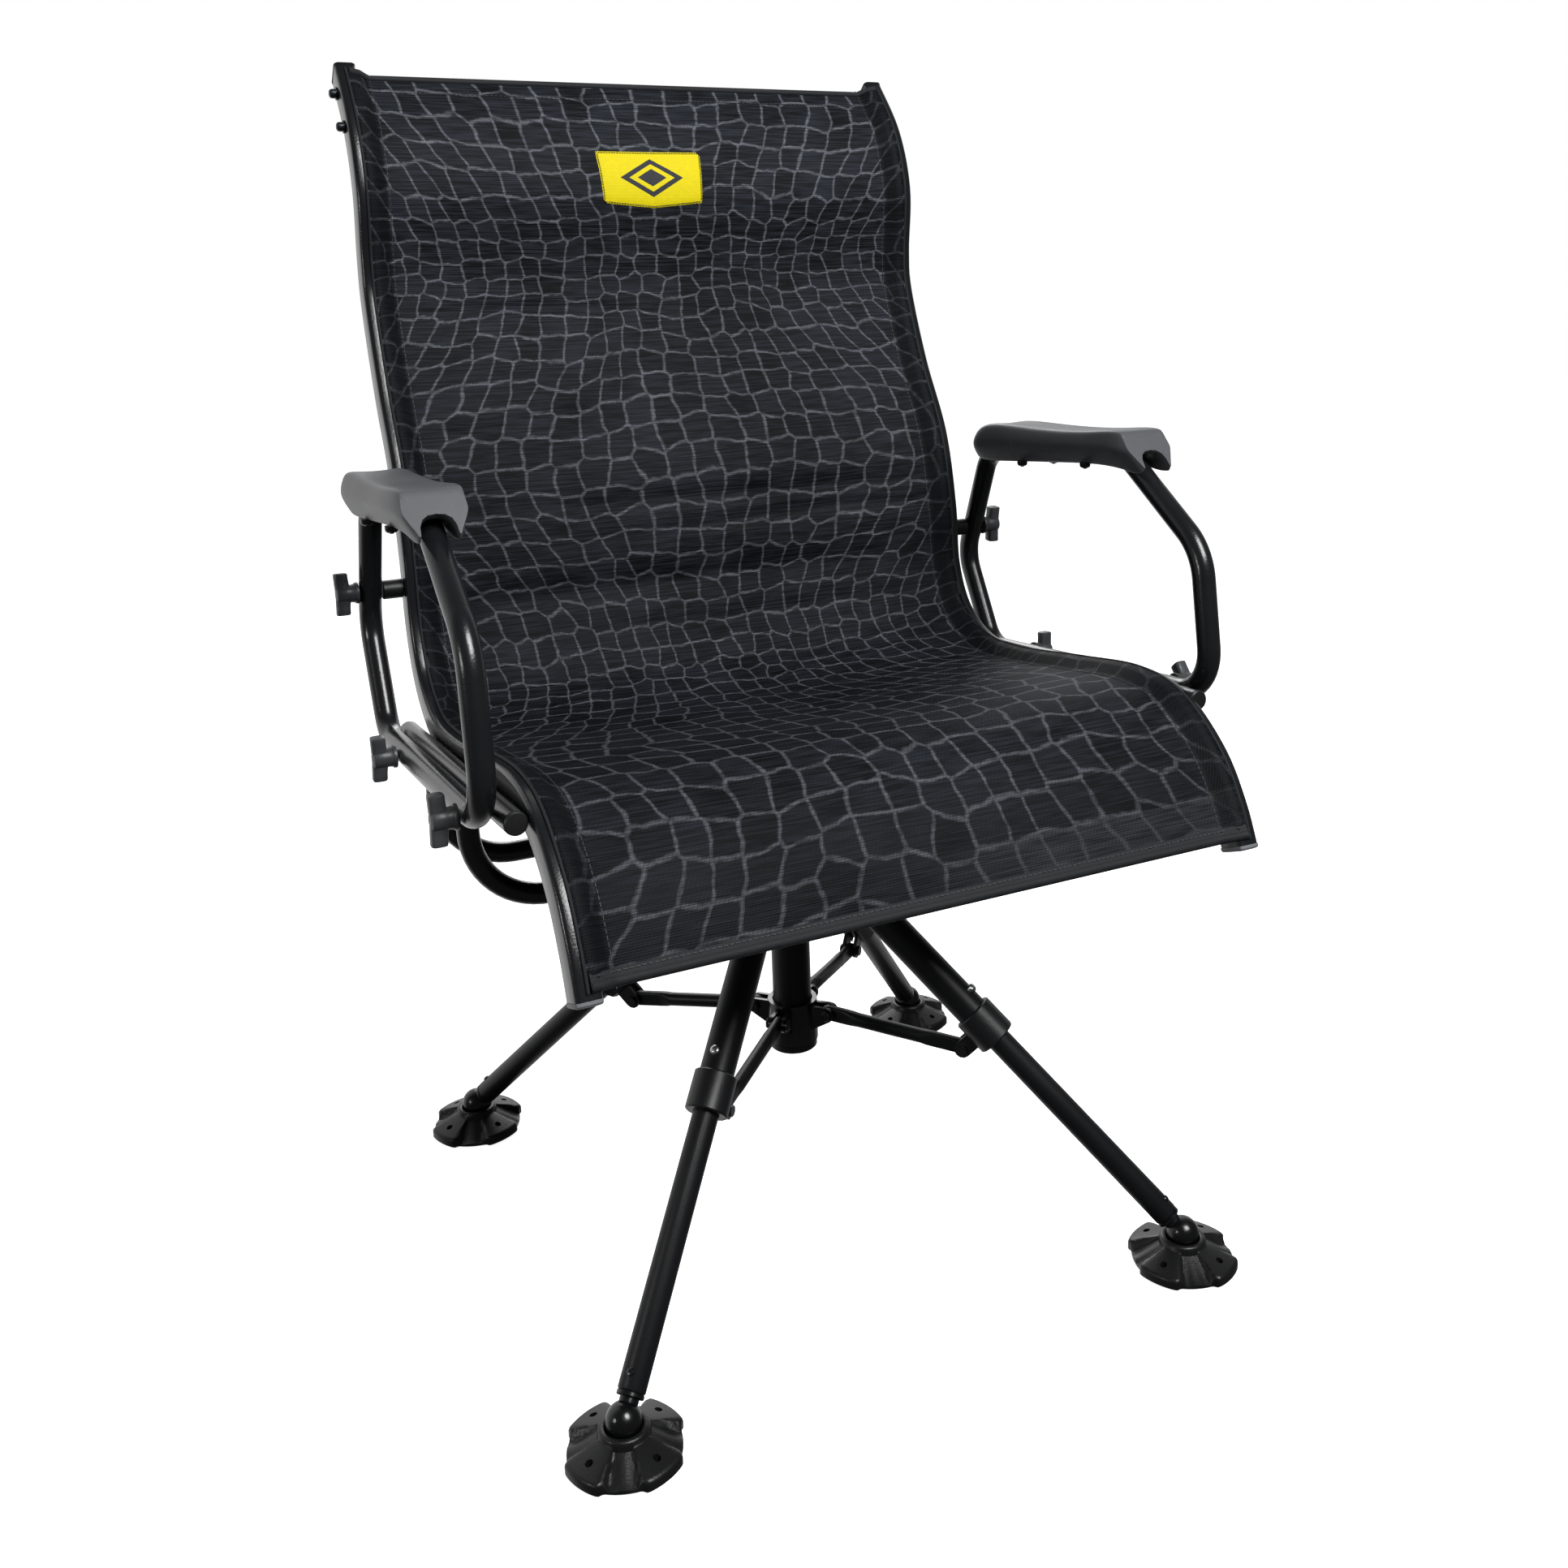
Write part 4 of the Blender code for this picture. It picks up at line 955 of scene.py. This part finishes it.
for name, distance, radius in (("head_hem", SLING_TOP + 0.0028, 0.003), ("front_hem", SLING_END - 0.003, 0.0034)):
    fit(name, piped(name, course(0.99, distance), radius, 16, webbing), None, "seat", slot="sling_mesh")
wide = 0.0
rows = []
for back, rise in ((0.002, 0.003), (0.005, 0.0022), (0.009, 0.0016), (0.0104, 0.0008)):
    path = course(0.99, SLING_END - back, rise)
    if rows:
        wide += (path[0] - rows[-1][0][0]).length
    run = 0.0
    row = []
    for here, before in zip(path, path[:1] + path):
        run += (here - before).length
        row.append((here, (wide, run)))
    rows.append(row)
fit("front_binding", woven("front_binding", rows, "cloth"), webbing, "seat", slot="sling_mesh", crease=180.0)
seams = [grown("seam", stitch_tree, course(0.965, distance, rise, 80), False, STITCH)
         for distance, rise in ((SLING_END - 0.0086, 0.0019), (SLING_TOP + 0.0185, 0.0009))]
fit("hem_stitches", joined("hem_stitches", seams), thread_finish, "seat", slot="sling_mesh")

# ---- badge
# A small sewn patch of yellow woven stuff, five-sided, with a plain dark lozenge woven in its middle.
patch_finish, loom, shader, place = blank("yellow_patch", specular=0.15)
across, down = loom.layer("cloth").parts()
lozenge = across.size() / 0.029 + down.size() / 0.0165
mark = (lozenge.over(0.72) * (1.0 - lozenge.over(1.0)) + (1.0 - lozenge.over(0.46))).held()
yarns = (down * 5200.0).ridges()
grain = loom.noise(place, 260.0, 3.0)
yellow = loom.mix((yarns * 0.4 + grain * 0.6).held(), (0.62, 0.51, 0.002, 1.0), (0.86, 0.72, 0.004, 1.0))
loom.dress(shader, loom.mix(mark, yellow, grey(0.035)), 0.48 + grain * 0.2, yarns + grain * 0.5, 0.3, 0.0003)
BADGE_AT = 0.1005


def badge_at(u, share, rise, inset=1.0):
    """A place on the badge, and its cloth coordinates; share runs from 0 at its top edge to 1 at its foot."""
    foot = 0.0265 - 0.0045 * abs(u)
    down = -0.024 + (foot + 0.024) * share
    x = u * inset * (0.0492 - 0.003 * share)
    return sling_at(x / CLOTH_EDGE, BADGE_AT + down, rise), (x, down)


rows = [[badge_at(-1.0 + 2.0 * c / 24, r / 12.0, 0.0013 if 0 < r < 12 and 0 < c < 24 else 0.0004)
         for c in range(25)] for r in range(13)]
fit("badge", woven("badge", rows, "cloth"), patch_finish, "seat", slot="sling_mesh", crease=180.0)
badge_edge = [badge_at(u, share, 0.0017, 0.975)[0] for u, share in (
    [(-1.0 + 2.0 * k / 30, 0.045) for k in range(31)] + [(0.985, k / 15) for k in range(1, 15)]
    + [(1.0 - 2.0 * k / 30, 0.955) for k in range(31)] + [(-0.985, 1.0 - k / 15) for k in range(1, 15)])]
mesh = grown("badge_stitches", stitch_tree, badge_edge, True, {
    "Pitch": 0.0024, "Stitch": 0.0017, "Thickness": 0.0003, "Finish": patch_finish})
fit("badge_stitches", mesh, None, "seat", slot="sling_mesh")

# ---- arm loops
# Each arm is a closed loop of 18 mm tube, bent in five places and welded behind. It stands outside the side
# bar and is held by three knobs; a spacer fills the gap to the rail.
ARM_X = 0.2792
ARM_R = 0.0088
ARM_CORNERS = (
    (0.1284, 0.5955, 0.03), (0.1705, 0.4953, 0.038), (0.1265, 0.4124, 0.03), (-0.1752, 0.4302, 0.035),
    (-0.1613, 0.5404, 0.05), (-0.0685, 0.6079, 0.025))
for word, side in SIDES:
    points = [at(side * ARM_X, y, z) for y, z in rounded_path(ARM_CORNERS, 12)]
    fit("arm_loop_" + word, piped("arm_loop", points, ARM_R, 36, tube_coat, closed=True), None, "seat",
        "arm_frame_" + word, slot="frame_tube")

# ---- arm pads
# Moulded grey rubber pads, hollowed a little along the top, with a hump at the front and a flat six-sided
# nose. A channel underneath sits over the tube, and two screws a side come up from below.
pad_rubber = moulded("pad_rubber", 0.078, 0.38, grain=1500.0, depth=0.00016)
PAD_STATIONS = (
    (0.13, 0.6045, 0.1308, 0.597, 0.0125, 0.1, 0.0), (0.1272, 0.6107, 0.1288, 0.5918, 0.0188, 0.28, 0.0),
    (0.1203, 0.6168, 0.1232, 0.59, 0.0224, 0.45, 0.2), (0.1105, 0.6212, 0.1148, 0.5888, 0.0236, 0.52, 0.4),
    (0.0978, 0.624, 0.1029, 0.589, 0.024, 0.56, 0.5), (0.0706, 0.6245, 0.074, 0.5908, 0.024, 0.58, 0.5),
    (0.0366, 0.6236, 0.0383, 0.5931, 0.0241, 0.58, 0.5), (-0.0059, 0.6237, -0.0042, 0.5958, 0.0243, 0.58, 0.5),
    (-0.0382, 0.625, -0.0382, 0.5979, 0.0245, 0.57, 0.6), (-0.0586, 0.6266, -0.0637, 0.5983, 0.0244, 0.5, 0.7),
    (-0.074, 0.6276, -0.0841, 0.597, 0.0238, 0.4, 0.8), (-0.0833, 0.6276, -0.0977, 0.5945, 0.0228, 0.38, 0.9),
    (-0.0877, 0.6268, -0.107, 0.5955, 0.0216, 0.5, 1.0), (-0.0892, 0.6258, -0.1096, 0.6, 0.0211, 0.46, 1.0))
pad_screw = turned("pad_screw", [
    (0.0, -0.0042), (0.0014, -0.0042), (0.0018, -0.0034), (0.003, -0.0034), (0.004, -0.0026),
    (0.0044, -0.0014), (0.0044, 0.0012), (0.0, 0.0012)], segments=18)
PAD_SIDE = (
    (0.0, -0.06), (0.34, -0.04), (0.62, 0.0), (0.76, -0.03), (0.88, -0.115), (0.975, -0.27), (1.0, -0.42),
    (0.965, -0.58), (0.87, -0.76), (0.76, -0.91), (0.7, -0.975), (0.6, -1.0), (0.42, -1.0))
PAD_NOSE = (
    (0.0, 0.0), (0.4, 0.0), (0.8, 0.0), (0.925, -0.012), (0.955, -0.075), (0.98, -0.26), (1.0, -0.44),
    (0.955, -0.53), (0.82, -0.72), (0.68, -0.9), (0.645, -0.965), (0.62, -1.0), (0.59, -1.0))
for word, side in SIDES:
    bm = bmesh.new()
    crease = bm.edges.layers.float.new("crease_edge")
    loops = []
    for top_y, top_z, foot_y, foot_z, half, bite, nose in PAD_STATIONS:
        outline = [(a + (c - a) * nose, 1.0 + b + (d - b) * nose)
                   for (a, b), (c, d) in zip(PAD_SIDE, PAD_NOSE)]
        gap = 0.385 + 0.17 * max(nose - 0.8, 0.0) / 0.2
        outline += [(gap, 0.0), (gap * 0.99, bite * 0.45), (gap * 0.78, bite * 0.8), (gap * 0.42, bite * 0.97),
                    (0.0, bite)]
        mirrored = [(-u, h) for u, h in reversed(outline[1:-1])]
        ring = []
        for u, h in outline + mirrored:
            ring.append(bm.verts.new(at(
                side * ARM_X + u * half, foot_y + (top_y - foot_y) * h, foot_z + (top_z - foot_z) * h)))
        loops.append(ring)
    count = len(loops[0])
    for first, second in zip(loops[:-1], loops[1:]):
        for i in range(count):
            bm.faces.new((first[i], first[(i + 1) % count], second[(i + 1) % count], second[i]))
    last = count // 2
    for ring in (loops[0], loops[-1]):
        for i in range(12):
            near, far = last - (i * 4 + 6) // 12, last - (i * 4 + 10) // 12
            for corners in ((i, i + 1, far, near), (-i, -i - 1, -far, -near)):
                face = []
                for corner in corners:
                    if ring[corner % count] not in face:
                        face.append(ring[corner % count])
                bm.faces.new(face)
    for ring, hold in ((loops[-1], 0.85), (loops[-2], 0.45)):
        for i in range(count):
            bm.edges.get((ring[i], ring[(i + 1) % count]))[crease] = hold
    pad = fit("arm_rest_" + word, meshed("arm_pad", bm), pad_rubber, "seat", "arm_pad_" + word,
              slot="grey_rubber", crease=60.0)
    smooth = pad.modifiers.new("smooth", "SUBSURF")
    smooth.levels = smooth.render_levels = 2
    screws = [moved(pad_screw, shifted(side * ARM_X + x, y, 0.5922 - 0.0629 * (y - 0.052)))
              for y in (-0.038, 0.052) for x in (-0.0165, 0.0165)]
    fit("pad_screws_" + word, joined("pad_screws", screws), fitting_coat, "seat", slot="black_fitting")

# ---- spacers and knobs
# A turned spacer stands between each rail and its arm loop. The loops are held by moulded T knobs: a
# stepped hub with two flared wings over a steel stud.
KNOB_X = 0.2883
KNOBS = {
    "left": (("upper", 0.1592, 0.522, 6.0), ("rear", 0.053, 0.4167, -4.0), ("front", -0.14, 0.4282, 3.0)),
    "right": (("upper", 0.1592, 0.522, 6.0), ("rear", 0.074, 0.4155, -4.0), ("front", -0.12, 0.427, -42.0))}
spacer = turned("arm_spacer", [
    (0.0, 0.2543), (0.0068, 0.2543), (0.0075, 0.2549), (0.0075, 0.2695), (0.0068, 0.2701), (0.0, 0.2701)],
    segments=32)
for word, side in SIDES:
    place = shifted(0.0, *KNOBS[word][0][1:3]) @ turn(90.0 * side, "Y")
    fit("spacer_" + word, moved(spacer, place), leg_coat, "seat", "arm_spacer_" + word, slot="black_fitting")
knob_plastic = moulded("knob_plastic", 0.052, 0.3, grain=1800.0, depth=0.0001)
hub = turned("knob_hub", [
    (0.0, 0.0003), (0.0083, 0.0003), (0.0085, 0.001), (0.0083, 0.0026), (0.0074, 0.0034), (0.007, 0.006),
    (0.0074, 0.008), (0.0074, 0.0155), (0.0068, 0.0166), (0.005, 0.0172), (0.0048, 0.016), (0.0, 0.016)],
    segments=36)
wing_rows = (
    (-0.0165, 0.0172, 0.0042, 0.0044), (-0.0162, 0.0172, 0.005, 0.0052), (-0.0152, 0.0171, 0.0053, 0.0055),
    (-0.011, 0.0169, 0.0053, 0.0052), (-0.007, 0.0166, 0.0055, 0.005), (-0.003, 0.016, 0.0058, 0.0056),
    (0.0, 0.0158, 0.0058, 0.0058))
wing_rows += tuple((-t, c, a, b) for t, c, a, b in reversed(wing_rows[:-1]))
wing_rings = []
for t, centre, half_out, half_across in wing_rows:
    wing_rings.append([Vector((p.y, t, centre - 0.0043 + p.x)) for p in squircle(half_out, half_across, 3.6, 0.0, 24)])
wings = skin("knob_wings", wing_rings)
knob_mesh = joined("t_knob", [hub, wings])
for word, side in SIDES:
    for spot_word, y, z, lean in KNOBS[word]:
        name = "knob_" + spot_word + "_" + word
        spin = turn(side * lean, "X") @ turn(90.0 * side, "Y") @ turn(90.0, "Z")
        fit(name, moved(knob_mesh, shifted(side * KNOB_X, y, z) @ spin), knob_plastic, name, "t_" + name,
            slot="grey_plastic")
